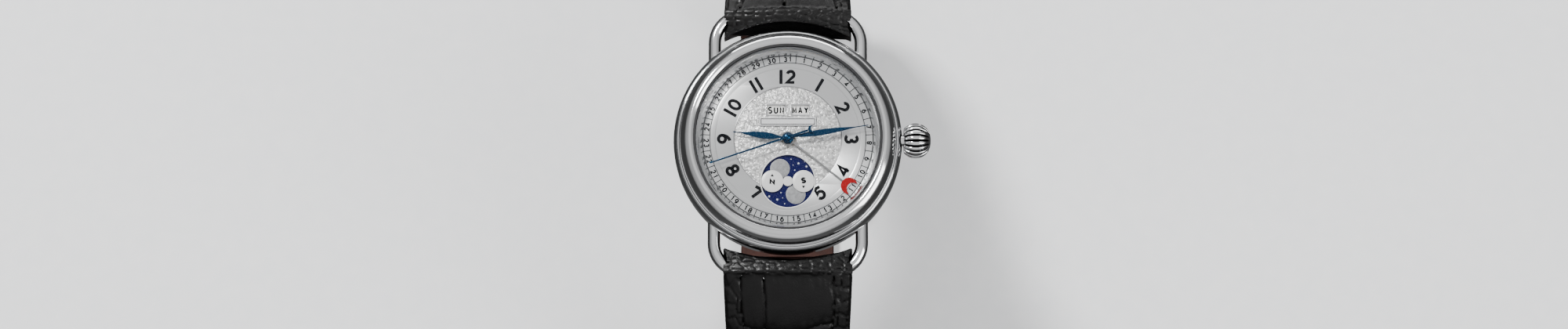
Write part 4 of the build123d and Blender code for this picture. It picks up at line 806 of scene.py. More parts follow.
def on_dial(radius: float, clock: float, height: float, inward: bool = False) -> Matrix:
    """A figure's place on the dial at a clock angle in degrees, its top pointing out, or inward if asked."""
    return moved(*polar(radius, math.radians(90 - clock)), height) @ turned(180.0 * inward - clock)


# ---------------------------------------------------------------- the case


@dataclass
class CaseDress:
    """The case: band, bezel, crystals, rehaut, lug wires, crown and correctors."""

    bore: float = 16.9
    band_radius: float = 20.0
    bezel_bore: float = 16.4
    bezel_radius: float = 18.78
    back_notches: int = 6
    wire_z: float = 4.0
    wire_radius: float = 1.1
    wire_x: float = 12.9
    wire_start_y: float = 13.4
    wire_bar_y: float = 24.0
    wire_bar_arc: float = 34.5
    wire_corner: float = 5.0
    stem_z: float = 5.4
    crown_base: float = 20.3
    crown_end: float = 24.97
    crown_well: Point = (22.2, 1.36)
    lobes: int = 18
    lobe_steps: int = 16
    flute_share: float = 0.44
    flute_depth: float = 0.5
    corrector_z: float = 4.4
    corrector_radius: float = 0.7
    corrector_end: float = 19.72
    correctors: dict[str, float] = field(
        default_factory=lambda: {"month": 30.0, "day": 150.0, "moon": 210.0, "date": 330.0}
    )

    def band(self) -> None:
        """Turn the case middle and bore it for the correctors."""
        profile = [(self.bore, 6.6), (self.bore, 1.3), (17.35, 1.3), (17.35, 0.6), (17.5, 0.5)]
        profile += arc((18.0, 0.5), (19.44, 1.73), (self.band_radius, 3.6), 14)
        profile += [(self.band_radius, 3.6), (self.band_radius, 4.4)]
        profile += arc((self.band_radius, 5.3), (19.85, 6.17), (19.42, 6.74), 8)
        profile += [(19.42, 6.74), (19.36, 6.62)]
        profile += arc((19.34, 6.64), (19.12, 6.9), (18.92, 6.66), 8)
        profile += [(18.92, 6.66), (18.9, 6.4), (18.8, 6.4), (18.8, 6.6)]
        obj = lathe(profile, 240)
        for angle in self.correctors.values():
            place = turned(angle) @ moved(19.9, z=self.corrector_z) @ turned(90, "Y")
            carve(obj, peg(self.corrector_radius + 0.06, 6.0, place, 40))
        dress(obj, "case_band", Look.STEEL, "case", "case_middle", smooth=30)

    def bezel(self) -> None:
        """Turn the domed bezel with its thin inner lip."""
        profile = [(self.bezel_bore, 9.8), (self.bezel_bore, 6.6), (18.7, 6.6)]
        profile += [(self.bezel_radius, 6.75), (self.bezel_radius, 7.35)]
        profile += arc((self.bezel_radius, 7.35), (18.33, 9.27), (17.3, 10.1), 16)
        profile += arc((17.3, 10.1), (16.85, 10.13), (16.56, 9.98), 6)
        profile += arc((16.56, 9.98), (16.46, 9.92), (self.bezel_bore, 9.8), 4)
        dress(lathe(profile, 240), "bezel_ring", Look.STEEL, "case", "bezel")

    def crystal(self) -> None:
        """Turn the front crystal and the glass of the back."""
        profile = arc((0.0, 11.15), (8.0, 10.862), (15.85, 10.0), 24) + [(15.85, 10.0), (16.1, 9.82), (16.1, 9.45)]
        profile += arc((15.4, 9.45), (8.0, 10.04), (0.0, 10.25), 24) + [(0.0, 10.25)]
        dress(lathe(profile, 180), "front_crystal", Look.GLASS, "case", "crystal")
        back = [(0.0, 0.0), (12.48, 0.0), (12.58, 0.1), (12.58, 0.8), (0.0, 0.8)]
        dress(lathe(back, 120), "rear_crystal", Look.GLASS, "case", "back_crystal")

    def rings(self) -> None:
        """Turn the rehaut, the gasket and the case back with its key notches."""
        slope = [(14.9, 7.2), (14.93, 7.3)] + arc((14.93, 7.3), (15.35, 8.3), (16.0, 9.15), 8)
        slope += [(16.0, 9.15), (16.35, 9.15), (16.35, 7.2)]
        dress(lathe(slope, 240), "rehaut_ring", Look.MIRROR, "case", "rehaut")
        seal = [(16.0, 9.15), (16.0, 9.45), (16.1, 9.45), (16.1, 9.8), (16.4, 9.8), (16.4, 9.15)]
        dress(lathe(seal), "crystal_seal", Look.RUBBER, "case", "crystal_gasket")
        back = [(12.6, 0.0), (16.9, 0.0)] + arc((16.95, 0.0), (17.2, 0.1), (17.3, 0.35), 5)
        back += [(17.3, 0.35), (17.3, 1.15), (12.2, 1.15), (12.2, 0.8), (12.6, 0.8)]
        obj = lathe(back, 200)
        for notch in range(self.back_notches):
            carve(obj, block(1.0, 2.2, 0.7, turned(15 + notch * 360 / self.back_notches) @ moved(17.2)))
        dress(obj, "case_back_ring", Look.STEEL, "case", "case_back", smooth=30)

    def wire_points(self, side: int) -> list[Spot]:
        """The centre line of a lug wire.

        Args:
            side: 1 at 12 o'clock, -1 at 6 o'clock.

        Returns:
            Points in millimetres.
        """
        centre_y = self.wire_bar_y - self.wire_bar_arc
        corner_x = self.wire_x - self.wire_corner
        rise = math.sqrt((self.wire_bar_arc - self.wire_corner) ** 2 - corner_x**2)
        corner_y = centre_y + rise
        end = math.atan2(rise, corner_x)
        half = [(self.wire_x, self.wire_start_y + i) for i in range(0, int(corner_y - self.wire_start_y) + 1, 2)]
        half += [polar(self.wire_corner, end * i / 10, corner_x, corner_y) for i in range(11)]
        half += [polar(self.wire_bar_arc, end + (math.pi / 2 - end) * i / 8, 0.0, centre_y) for i in range(1, 9)]
        return [(x, side * y, self.wire_z) for x, y in half + [(-x, y) for x, y in reversed(half[:-1])]]

    def wires(self) -> None:
        """Bend the two lug wires."""
        for side, node in ((1, "lug_wire_top"), (-1, "lug_wire_bottom")):
            rod = tube(self.wire_points(side), self.wire_radius)
            dress(rod, node + "_rod", Look.STEEL, "case", node, smooth=50)

    def in_flute(self, centre: Vector, _normal: Vector) -> bool:
        """Whether a face of the crown lies in a flute, where the steel is painted near-black as shade.

        Args:
            centre: The face's centre in millimetres.
            _normal: Its normal, which doesn't matter here.

        Returns:
            True if it does.
        """
        depth = math.hypot(centre.y, centre.z - self.stem_z)
        phase = math.atan2(centre.y, centre.z - self.stem_z) / math.tau * self.lobes % 1.0
        return abs(phase - 0.5) < 0.19 and 20.5 < centre.x < 24.55 and depth > 1.4

    def crown(self) -> None:
        """Shape the fluted crown with its well and painted shade in its flutes, and the tube that it sits over."""
        base, (well_x, well) = self.crown_base, self.crown_well
        section = [(well_x, 0.4, 0.0), (well_x, well, 0.0), (base, well, 0.0), (base, 2.0, 0.2)]
        for x, radius in arc((base, 2.1), (22.4, 3.05), (self.crown_end, 0.0), 44):
            section.append((x, radius, min(max((radius - 0.85) / 0.9, 0.0), 1.0)))
        section.append((self.crown_end, 0.0, 0.0))
        columns = self.lobes * self.lobe_steps
        turn = np.arange(columns) / columns * math.tau
        phase = turn * self.lobes / math.tau % 1.0
        flute = np.clip(1 - np.abs(phase - 0.5) * 2 / self.flute_share, 0, 1)
        relief = 0.05 * np.cos(phase * math.tau) - self.flute_depth * flute
        rows = []
        for x, radius, share in section:
            reach = radius + share * relief
            rows.append(row_of(x, reach * np.sin(turn), self.stem_z + reach * np.cos(turn)))
        crown = dress(skin(rows), "onion_crown", Look.STEEL, "crown_stem", "crown", smooth=40)
        # the flutes' faces are painted near-black: painted shade in the grooves
        inlay(crown, Look.FLUTE, self.in_flute)
        collar = lathe([(0.5, 0.0), (0.94, 0.0), (0.94, 4.2), (0.5, 4.2)], 64)
        place = moved(17.2, z=self.stem_z) @ turned(90, "Y")
        dress(collar, "crown_sleeve", Look.STEEL, "case", "crown_tube", place=place)

    def buttons(self) -> None:
        """Turn the four correctors with a dimple in each."""
        radius, end = self.corrector_radius, self.corrector_end
        profile = [(0.0, 16.25), (1.05, 16.25), (1.05, 16.75), (radius, 16.75), (radius, end - 0.12)]
        profile += [(radius - 0.1, end), (0.42, end), (0.3, end - 0.12), (0.0, end - 0.17)]
        for name, angle in self.correctors.items():
            place = moved(z=self.corrector_z) @ turned(angle) @ turned(90, "Y")
            pin = lathe(profile, 48)
            dress(pin, f"{name}_button_pin", Look.STEEL, f"{name}_button", f"{name}_corrector", place=place)

    def build(self) -> None:
        """Build every piece of the case."""
        self.band()
        self.bezel()
        self.crystal()
        self.rings()
        self.wires()
        self.crown()
        self.buttons()


# ---------------------------------------------------------------- the dial


@dataclass(frozen=True)
class DialPlan:
    """Places that the dial and the discs under it share."""

    moon_y: float = -7.48
    label_y: float = 5.2
    day_x: float = -2.07
    month_x: float = 2.18


@dataclass
class DialDress:
    """The dial, its print, the windows and the moon window's mask."""

    plan: DialPlan = DialPlan()
    low: float = 6.85
    top: float = 7.2
    centre_top: float = 7.03
    edge_radius: float = 16.3
    step_radius: float = 9.4
    window_radius: float = 4.88
    day_width: float = 3.15
    month_width: float = 2.98
    label_height: float = 1.73
    frame_width: float = 0.2
    hub_bore: float = 1.12
    plaque_y: float = 3.07
    pole_x: float = 2.72
    letter_height: float = 1.08
    letter_stroke: float = 0.33
    hour_radius: float = 11.1
    hour_height: float = 2.55
    stroke: float = 0.56
    track_inner: float = 13.64
    track_outer: float = 14.83
    track_line: float = 0.11
    tick_width: float = 0.13
    dates: int = 31
    date_height: float = 0.98

    def crossing(self, radius: float) -> tuple[Point, Point]:
        """Where a circle round the dial's centre meets the moon window.

        Args:
            radius: The circle's radius.

        Returns:
            The left and the right crossing.
        """
        y = (self.window_radius**2 - radius**2 - self.plan.moon_y**2) / (-2 * self.plan.moon_y)
        x = math.sqrt(radius**2 - y**2)
        return (-x, y), (x, y)

    def plates(self) -> None:
        """Cut the dial's ring and its centre round the moon window, and turn its raised ring."""
        left, right = self.crossing(self.step_radius)
        inside = arc(right, (0, self.step_radius), left, 120)
        inside += arc(left, (0, self.plan.moon_y - self.window_radius), right, 40)
        ring = flat([circle(self.edge_radius, count=200), inside], self.low, self.top, 0.04)
        dress(ring, "dial_ring", Look.SILVER, "case", "dial")
        rim = [(12.62, 7.2), (12.66, 7.24), (12.8, 7.27), (13.4, 7.27), (13.54, 7.24), (13.58, 7.2), (13.4, 7.1)]
        dress(lathe(rim + [(12.8, 7.1)], 240), "dial_raised_ring", Look.SILVER, "case")
        radius = self.step_radius - 0.05
        left, right = self.crossing(radius)
        outside = arc(right, (0, radius), left, 120)
        outside += arc(left, (0, self.plan.moon_y + self.window_radius), right, 60)
        holes = [self.window_loop(width, x) for _, width, x in self.windows()]
        centre = flat([outside, *holes, circle(self.hub_bore, count=48)], self.low, self.centre_top, 0.02)
        dress(centre, "dial_grained_centre", Look.HAMMERED, "case", "dial_centre")

    def windows(self) -> tuple[tuple[str, float, float], ...]:
        """The two label windows' names, widths and places."""
        return ("day", self.day_width, self.plan.day_x), ("month", self.month_width, self.plan.month_x)

    def window_loop(self, width: float, x: float, wider: float = 0.0) -> Loop:
        """The outline of a label window, made wider by so much on each side."""
        return box_loop(width + 2 * wider, self.label_height + 2 * wider, x, self.plan.label_y)

    def edges(self) -> None:
        """The polished frames of the two windows and the polished edge of the step."""
        for name, width, x in self.windows():
            border = flat([self.window_loop(width, x, self.frame_width), self.window_loop(width, x)], 6.98, 7.12, 0.05)
            dress(border, f"{name}_window_frame", Look.MIRROR, "case")
        step = lathe([(9.36, 7.0), (9.36, 7.2), (9.43, 7.23), (9.5, 7.2), (9.5, 7.0)], 200)
        carve(step, flat([circle(self.window_radius - 0.02, 0, self.plan.moon_y, 80)], 6.0, 8.0))
        dress(step, "dial_step_edge", Look.MIRROR, "case")

    def plaque(self) -> None:
        """The raised plaque, with a plain engraved line round its face and painted shade on its bevel and in the line.
        """
        plate = flat([box_loop(10.0, 1.6, 0, self.plaque_y, 0.06)], 7.03, 7.27, 0.09)
        line = [box_loop(9.5, 1.12, 0, self.plaque_y), box_loop(9.2, 0.82, 0, self.plaque_y)]
        carve(plate, flat(line, 7.19, 7.3))
        dress(plate, "plaque_plate", Look.BARE, "case", "dial_plaque", smooth=25)
        # the bevel, the sides and the floor of the engraved line take dark steel: painted shade round the plaque's edge
        inlay(plate, Look.SHADE, lambda centre, normal: normal.z < 0.95 or centre.z < 7.25)

    def mask(self) -> None:
        """The moon window's rim, the two letter discs and the middle disc."""
        rim = [(4.64, 6.92)] + arc((4.64, 7.22), (4.75, 7.28), (4.86, 7.22), 5) + [(4.86, 7.22), (4.86, 6.92)]
        disc = [(0.0, 6.98), (1.93, 6.98), (1.93, 7.06), (1.86, 7.11), (1.2, 7.135), (0.0, 7.145)]
        hub = [(0.0, 6.98), (0.87, 6.98), (0.87, 7.08), (0.8, 7.14), (0.4, 7.17), (0.0, 7.18)]
        pieces = [lathe(rim, 160)]
        pieces += [laid(lathe(disc, 96), moved(x)) for x in (-self.pole_x, self.pole_x)]
        pieces += [lathe(hub, 64), flat([box_loop(2.4, 0.5)], 6.99, 7.07)]
        place = moved(y=self.plan.moon_y)
        dress(join(pieces), "moon_window_mask", Look.PEARL, "case", "moon_mask", place=place)
        marks = []
        for x, letter, tip in ((-self.pole_x, "N", 1), (self.pole_x, "S", -1)):
            glyph = lettering(letter, self.letter_height, self.letter_stroke, 0.9)
            marks.append(laid(glyph, moved(x, self.plan.moon_y - 0.12 * tip, 7.14)))
            foot, point = self.plan.moon_y + 0.82 * tip, self.plan.moon_y + 1.3 * tip
            marks.append(flat([[(x - 0.3, foot), (x + 0.3, foot), (x, point)]], 7.13, 7.15))
        dress(join(marks), "pole_marks", Look.INK, "case")

    def hour_figures(self) -> None:
        """Print the hour figures: sticks for each one, digits for the rest."""
        digits = {12: "2", 2: "2", 3: "3", 9: "9", 10: "0", 4: "4", 5: "5", 7: "7", 8: "8"}
        beside_stick = {12: 0.5, 10: 0.62}
        sticks = ((12, -1.2), (10, -1.0), (11, -0.56), (11, 0.56), (1, 0.0))
        pieces = []
        for hour, digit in digits.items():
            place = on_dial(self.hour_radius, hour * 30.0, self.top, 4 <= hour <= 8)
            glyph = lettering(digit, self.hour_height, self.stroke, 0.72)
            pieces.append(laid(glyph, place @ moved(beside_stick.get(hour, 0.0))))
        for hour, offset in sticks:
            stick = flat([box_loop(self.stroke, self.hour_height, offset)], 0.0, 0.02)
            pieces.append(laid(stick, on_dial(self.hour_radius, hour * 30.0, self.top)))
        dress(join(pieces), "hour_figures", Look.INK, "case")

    def date_track(self) -> None:
        """Print the date track: two circles, ticks and the numbers 1 to 31."""
        pieces = []
        for radius in (self.track_inner, self.track_outer):
            edges = [circle(radius + side * self.track_line / 2, count=200) for side in (1, -1)]
            pieces.append(flat(edges, self.top, self.top + 0.012))
        middle = (self.track_inner + self.track_outer) / 2
        for number in range(1, self.dates + 1):
            clock = number * 360.0 / self.dates
            glyph = lettering(str(number), self.date_height, 0.22, 0.7, 0.012)
            pieces.append(laid(glyph, on_dial(middle, clock, self.top, 8 <= number <= 23)))
            tick = flat([box_loop(self.tick_width, self.track_outer - self.track_inner)], 0.0, 0.012)
            pieces.append(laid(tick, on_dial(middle, clock + 180.0 / self.dates, self.top)))
        dress(join(pieces), "date_track", Look.INK, "case")

    def build(self) -> None:
        """Build every piece of the dial."""
        self.plates()
        self.edges()
        self.plaque()
        self.mask()
        self.hour_figures()
        self.date_track()


@dataclass
class CalendarDress:
    """The discs that show the moon, the day and the month."""

    plan: DialPlan = DialPlan()
    low: float = 6.6
    top: float = 6.76
    disc_radius: float = 5.85
    post_radius: float = 0.35
    moon_teeth: int = 59
    moon_turn: float = 31.0
    moon_offset: float = 2.66
    moon_radius: float = 1.72
    star_places: tuple[Spot, ...] = (
        (0.55, 3.95, 0.09), (1.85, 3.2, 0.26), (3.25, 2.65, 0.24), (1.2, 2.0, 0.1), (2.35, 1.2, 0.12),
        (3.9, 1.5, 0.1), (0.9, 2.9, 0.07), (2.9, 3.5, 0.07),
    )
    days: tuple[str, ...] = ("SUN", "MON", "TUE", "WED", "THU", "FRI", "SAT")
    months: tuple[str, ...] = ("MAY", "JUN", "JUL", "AUG", "SEP", "OCT", "NOV")

    def moon(self) -> None:
        """The night disc with two moons and its stars, the same on each half."""
        place = moved(y=self.plan.moon_y)
        disc = flat([zigzag(5.0, 4.8, 2 * self.moon_teeth), circle(self.post_radius, count=24)], self.low, self.top)
        dress(disc, "night_disc", Look.NIGHT, "moon_display", "moon_disc", place=place)
        radius = self.moon_radius
        dome = [(0.0, 6.74), (radius, 6.74), (radius, 6.78), (radius - 0.08, 6.81), (1.0, 6.825), (0.0, 6.83)]
        moons, stars = [], []
        for half in (turned(0), turned(180)):
            at = moved(*polar(self.moon_offset, math.radians(90 + self.moon_turn)))
            moons.append(laid(lathe(dome, 72), half @ at))
            for x, y, size in self.star_places:
                pointed = size > 0.15
                loop = zigzag(size, size * 0.42, 10, math.pi / 2) if pointed else circle(size, count=12)
                stars.append(laid(flat([loop], self.top, self.top + 0.015), half @ moved(x, y)))
        dress(join(moons), "silver_moons", Look.MOON, "moon_display", place=place)
        dress(join(stars), "night_stars", Look.STAR, "moon_display", place=place)

    def labels(self, kind: str, words: tuple[str, ...], x: float, window_x: float) -> None:
        """A disc with its labels round it, the first one in the window.

        Args:
            kind: What it shows: day or month.
            words: The short names.
            x: The disc's centre.
            window_x: The window's centre.
        """
        place = moved(x, self.plan.label_y)
        disc = flat([circle(self.disc_radius), circle(self.post_radius, count=24)], self.low, self.top)
        dress(disc, f"{kind}_ring", Look.DISC, f"{kind}_display", f"{kind}_disc", place=place)
        pieces = []
        for i, word in enumerate(words):
            turn = turned(i * 360 / len(words)) @ moved(window_x - x, 0.0, self.top)
            pieces.append(laid(lettering(word, 1.26, 0.27, 0.63, 0.015), turn))
        dress(join(pieces), f"{kind}_ring_print", Look.INK, f"{kind}_display", place=place)

    def build(self) -> None:
        """Build the three discs."""
        self.moon()
        self.labels("day", self.days, -6.25, self.plan.day_x)
        self.labels("month", self.months, 6.4, self.plan.month_x)


# ---------------------------------------------------------------- the hands


@dataclass
class HandSet:
    """The blued hands and the date pointer."""

    hour_clock: float = 276.6
    minute_clock: float = 81.1
    seconds_clock: float = 251.2
    date_clock: float = 128.3
    date_z: float = 7.5
    hour_z: float = 7.95
    minute_z: float = 8.4
    seconds_z: float = 8.85
    thickness: float = 0.13
    date_reach: float = 13.575

    def leaf(self, length: float, width: float, hub: float, bore: float) -> list[Loop]:
        """A leaf hand's outline along +Y.

        Args:
            length: From the centre to the tip.
            width: Greatest width.
            hub: Hub radius.
            bore: Hole radius.

        Returns:
            Its loops.
        """
        half = []
        for i in range(33):
            share = i / 32
            belly = math.sin(math.pi * (share / 0.9) ** 0.8) ** 1.15 if share < 0.9 else 0.0
            half.append((max(0.16 * (1 - share * 0.5), width / 2 * belly), hub * 0.9 + (length - hub * 0.9) * share))
        left = [(-x, y) for x, y in reversed(half)]
        start = math.atan2(half[0][1], half[0][0])
        reach = max(hub, math.hypot(*half[0]))
        below = [polar(reach, math.pi - start + (math.pi + 2 * start) * i / 40) for i in range(1, 40)]
        return [half + left + below, circle(bore, count=32)]

    def plain(self) -> None:
        """The hour and minute hands with their domed hubs."""
        for name, clock, z, length, width, hub, bore in (
            ("hour", self.hour_clock, self.hour_z, 9.65, 1.2, 1.0, 0.72),
            ("minute", self.minute_clock, self.minute_z, 14.2, 1.05, 0.8, 0.42),
        ):
            blade = flat(self.leaf(length, width, hub, bore), z, z + self.thickness, 0.045)
            cap = lathe([(bore, z), (hub, z), (hub, z + 0.12), (hub - 0.08, z + 0.22), (bore, z + 0.22)], 64)
            hand = join([blade, cap])
            dress(hand, f"{name}_leaf", Look.BLUED, f"{name}_work", f"{name}_hand", place=turned(-clock))

    def seconds(self) -> None:
        """The seconds needle with its crescent tail and its cap."""
        z = self.seconds_z
        needle = flat([[(0.19, -3.7), (0.13, 14.3), (-0.13, 14.3), (-0.19, -3.7)]], z, z + 0.1, 0.02)
        moon = flat([self.crescent(-4.4, 0.66, 0.54, -1)], z, z + 0.1)
        profile = [(0.0, z), (0.57, z), (0.57, z + 0.12), (0.5, z + 0.22), (0.34, z + 0.26), (0.24, z + 0.22)]
        cap = lathe(profile + [(0.1, z + 0.3), (0.0, z + 0.3)], 64)
        place = turned(-self.seconds_clock)
        hand = join([needle, moon, cap])
        dress(hand, "seconds_needle", Look.BLUED, "seconds_work", "seconds_hand", place=place)

    def crescent(self, centre: float, radius: float, bite: float, way: int) -> Loop:
        """A crescent on the Y axis.

        Args:
            centre: Its centre's y.
            radius: Outer radius.
            bite: Radius of the part taken out.
            way: 1 if it opens to +Y.

        Returns:
            The loop.
        """
        shift = radius - bite / 2
        y = (shift**2 + radius**2 - bite**2) / (2 * shift)
        x = math.sqrt(radius**2 - y**2)
        loop = arc((x, y), (0, -radius), (-x, y), 40) + arc((-x, y), (0, shift - bite), (x, y), 40)
        return [(px, centre + way * py) for px, py in loop]

    def date(self) -> None:
        """The thin date pointer and its red crescent."""
        z, end = self.date_z, self.date_reach - 1.35
        rod = flat([[(0.16, 1.1), (0.13, end), (-0.13, end), (-0.16, 1.1)]], z, z + 0.12, 0.03)
        hub = lathe([(1.0, z), (1.25, z), (1.25, z + 0.1), (1.18, z + 0.16), (1.0, z + 0.16)], 64)
        place = turned(-self.date_clock)
        dress(join([rod, hub]), "date_rod", Look.POINTER, "date_work", "date_hand", place=place)
        moon = flat([self.crescent(self.date_reach, 1.45, 1.13, 1)], z - 0.01, z + self.thickness)
        dress(moon, "date_crescent", Look.RED, "date_work", place=place)

    def build(self) -> None:
        """Build every hand."""
        self.date()
        self.plain()
        self.seconds()


# ---------------------------------------------------------------- the strap


@dataclass
class StrapRoute:
    """The strap's inner face in the plane X = 0, as the solids have it."""

    hinge_y: float = 22.85
    wire_z: float = 4.0
    drop: float = 2.4
    start_turn: float = 18.0
    upper_arc: float = 28.0
    lower_arc: float = 20.9
    tail_arc: float = 4000.0
    keeper_reach: float = 6.6
    crown_end: float = 1.8
    edge_end: float = 1.3
    crown_start: float = 5.1
    edge_start: float = 4.1
    lug_width: float = 22.4
    end_width: float = 18.0
    taper: float = 60.0
    lining: float = 0.8
    bar: float = 73.0

    def start(self) -> Point:
        """Where the inner face starts: outward distance and height."""
        turn = math.radians(self.start_turn)
        return self.hinge_y - self.drop * math.sin(turn), self.wire_z - self.drop * math.cos(turn)

    def at(self, side: int, length: float) -> Spot:
        """The inner face at a length.

        Args:
            side: 1 for the upper strap, -1 for the lower.
            length: Distance along it.

        Returns:
            Outward distance, height and turn in radians.
        """
        out, height = self.start()
        turn = math.radians(self.start_turn)
        upper = self.upper_arc * math.radians(90 - self.start_turn)
        lower = self.lower_arc if side > 0 else self.lower_arc + self.keeper_reach - self.crown_end
        tail = self.lower_arc if side > 0 else self.tail_arc
        for radius, run in ((self.upper_arc, upper), (lower, lower * math.pi / 2), (tail, math.inf)):
            step = max(0.0, min(length, run))
            new = turn + step / radius
            out += radius * (math.sin(new) - math.sin(turn))
            height += radius * (math.cos(new) - math.cos(turn))
            turn = new
            length -= step
            if length <= 0:
                break
        return out, height, turn

    def heights(self, length: float) -> Point:
        """The leather's heights over the inner face.

        Args:
            length: Distance along the strap.

        Returns:
            The height at its edge and at its crown.
        """
        share = min(max(length, 0.0) / self.taper, 1.0) ** 0.6
        edge = self.edge_start + (self.edge_end - self.edge_start) * share
        crown = self.crown_start + (self.crown_end - self.crown_start) * share
        return edge, crown

    def width(self, length: float) -> float:
        """The strap's full width at a length."""
        return self.lug_width - (self.lug_width - self.end_width) * min(max(length, 0.0) / self.taper, 1.0)

    def plane(self, side: int, length: float) -> Matrix:
        """The place across the strap: X is its width, Y runs outward, Z along it.

        Args:
            side: 1 or -1.
            length: Distance along it.

        Returns:
            The matrix in millimetres.
        """
        out, height, turn = self.at(side, length)
        normal = Vector((0, side * math.sin(turn), math.cos(turn)))
        along = Vector((0, side * math.cos(turn), -math.sin(turn)))
        axes = Matrix((normal.cross(along), normal, along)).transposed()
        return moved(0.0, side * out, height) @ axes.to_4x4()

    def bar_place(self) -> Matrix:
        """The buckle bar's place in the upper strap, with axes as plane has them."""
        lift = (self.edge_end + self.crown_end) / 4 - self.lining / 2 + 0.02
        return self.plane(1, self.bar) @ moved(y=lift)


def hashed(i: np.ndarray, j: np.ndarray, seed: float) -> np.ndarray:
    """A steady value from 0 to 1 for a cell (i, j) that looks random; each seed gives other values."""
    wave = np.sin(i * 127.1 + j * 311.7 + seed * 74.7) * 43758.5453
    return wave - np.floor(wave)


def cells(x: np.ndarray, y: np.ndarray, seed: float) -> tuple[np.ndarray, np.ndarray]:
    """Cell pattern: distance to the border between cells, and each cell's own value.

    Args:
        x: Coordinates in cells.
        y: Coordinates in cells.
        seed: Which pattern.

    Returns:
        Border distance and cell value.
    """
    xi, yi = np.floor(x), np.floor(y)
    first = np.full(x.shape, 9.0)
    second = np.full(x.shape, 9.0)
    own = np.zeros(x.shape)
    for dx in (-1, 0, 1):
        for dy in (-1, 0, 1):
            cx, cy = xi + dx, yi + dy
            px = cx + 0.15 + 0.7 * hashed(cx, cy, seed)
            py = cy + 0.15 + 0.7 * hashed(cx, cy, seed + 3.0)
            dist = np.hypot(px - x, py - y)
            closer = dist < first
            second = np.where(closer, first, np.minimum(second, dist))
            own = np.where(closer, hashed(cx, cy, seed + 7.0), own)
            first = np.where(closer, dist, first)
    return second - first, own


def ripples(x: np.ndarray, y: np.ndarray, seed: float) -> np.ndarray:
    """Smooth noise in three octaves.

    Args:
        x: Coordinates in cells.
        y: Coordinates in cells.
        seed: Which noise.

    Returns:
        Values from -1 to 1.
    """
    total = np.zeros(x.shape)
    size = 1.0
    for octave in range(3):
        xi, yi = np.floor(x * size), np.floor(y * size)
        fx, fy = x * size - xi, y * size - yi
        fx, fy = fx * fx * (3 - 2 * fx), fy * fy * (3 - 2 * fy)
        s = seed + octave * 11.0
        a, b = hashed(xi, yi, s), hashed(xi + 1, yi, s)
        c, d = hashed(xi, yi + 1, s), hashed(xi + 1, yi + 1, s)
        total += ((a * (1 - fx) + b * fx) * (1 - fy) + (c * (1 - fx) + d * fx) * fy - 0.5) * 2 / size
        size *= 2
    return total / 1.75


def bell(distance: np.ndarray, width: float) -> np.ndarray:
    """A smooth bump that is one at distance zero and falls off over a width."""
    return np.exp(-((distance / width) ** 2))


@dataclass
class Scales:
    """The relief of alligator leather: big square scales in the middle, small round ones at the sides."""

    column_x: float
    seed: float
    row_pitch: float = 9.2
    first_row: float = 0.4
    middle_half: float = 8.4
    full_half: float = 11.2

    def relief(self, x: np.ndarray, length: float, half: float) -> np.ndarray:
        """Relief height over the smooth surface.

        Args:
            x: Across, in millimetres.
            length: Along, from the bar.
            half: Half width there.

        Returns:
            Heights in millimetres, mostly below zero in the grooves.
        """
        s = np.full(x.shape, length)
        u = x / (half / self.full_half)
        wander = ripples(u * 0.16, s * 0.16, self.seed)
        row = (s - self.first_row + 0.7 * wander + 0.012 * u * u) / self.row_pitch
        to_row = np.abs(row - np.round(row)) * self.row_pitch
        shift = (hashed(np.round(row - 0.5), np.zeros(row.shape), self.seed + 5) - 0.5) * 2.0
        shift = np.where(row < 1.0, 0.0, shift)
        column = u - self.column_x - shift + 0.35 * ripples(s * 0.2, u * 0.05, self.seed + 2)
        middle = self.middle_half + 0.9 * ripples(s * 0.22, np.sign(u), self.seed + 4)
        to_side = np.abs(np.abs(u) - middle)
        # big scales: grooves round them, a ridge beside the column's groove, wrinkles near the borders
        big = -0.34 * bell(to_row, 0.2) - 0.1 * bell(to_row, 0.75) - 0.3 * bell(column, 0.2)
        big += 0.05 * bell(column - 0.55, 0.28) - 0.28 * bell(to_side, 0.22)
        near = bell(to_row, 1.7) + 0.35 * bell(to_side, 1.2)
        big -= 0.13 * near * np.clip(0.35 - np.abs(ripples(u * 1.1, s * 0.35, self.seed + 9)), 0, 1) / 0.35
        big += 0.035 * ripples(u * 0.5, s * 0.5, self.seed + 1)
        big += 0.16 * (1 - np.exp(-to_row / 1.6)) * (1 - np.exp(-to_side / 1.6)) - 0.1
        # small scales at the sides
        border, own = cells(u / 1.55, s / 2.3 + 0.3 * wander, self.seed + 6)
        small = -0.24 * bell(border, 0.13) + 0.11 * own - 0.06
        small -= 0.07 * np.clip(0.3 - np.abs(ripples(u * 1.6, s * 1.6, self.seed + 8)), 0, 1) / 0.3
        # flat scales over the bar
        border, own = cells(u / 1.9, s / 1.15, self.seed + 12)
        end = -0.2 * bell(border, 0.12) + 0.06 * own - 0.03
        mix = np.clip((s - self.first_row + 0.2) / 0.5, 0, 1)
        return np.where(np.abs(u) < middle, big, small) * mix + end * (1 - mix)


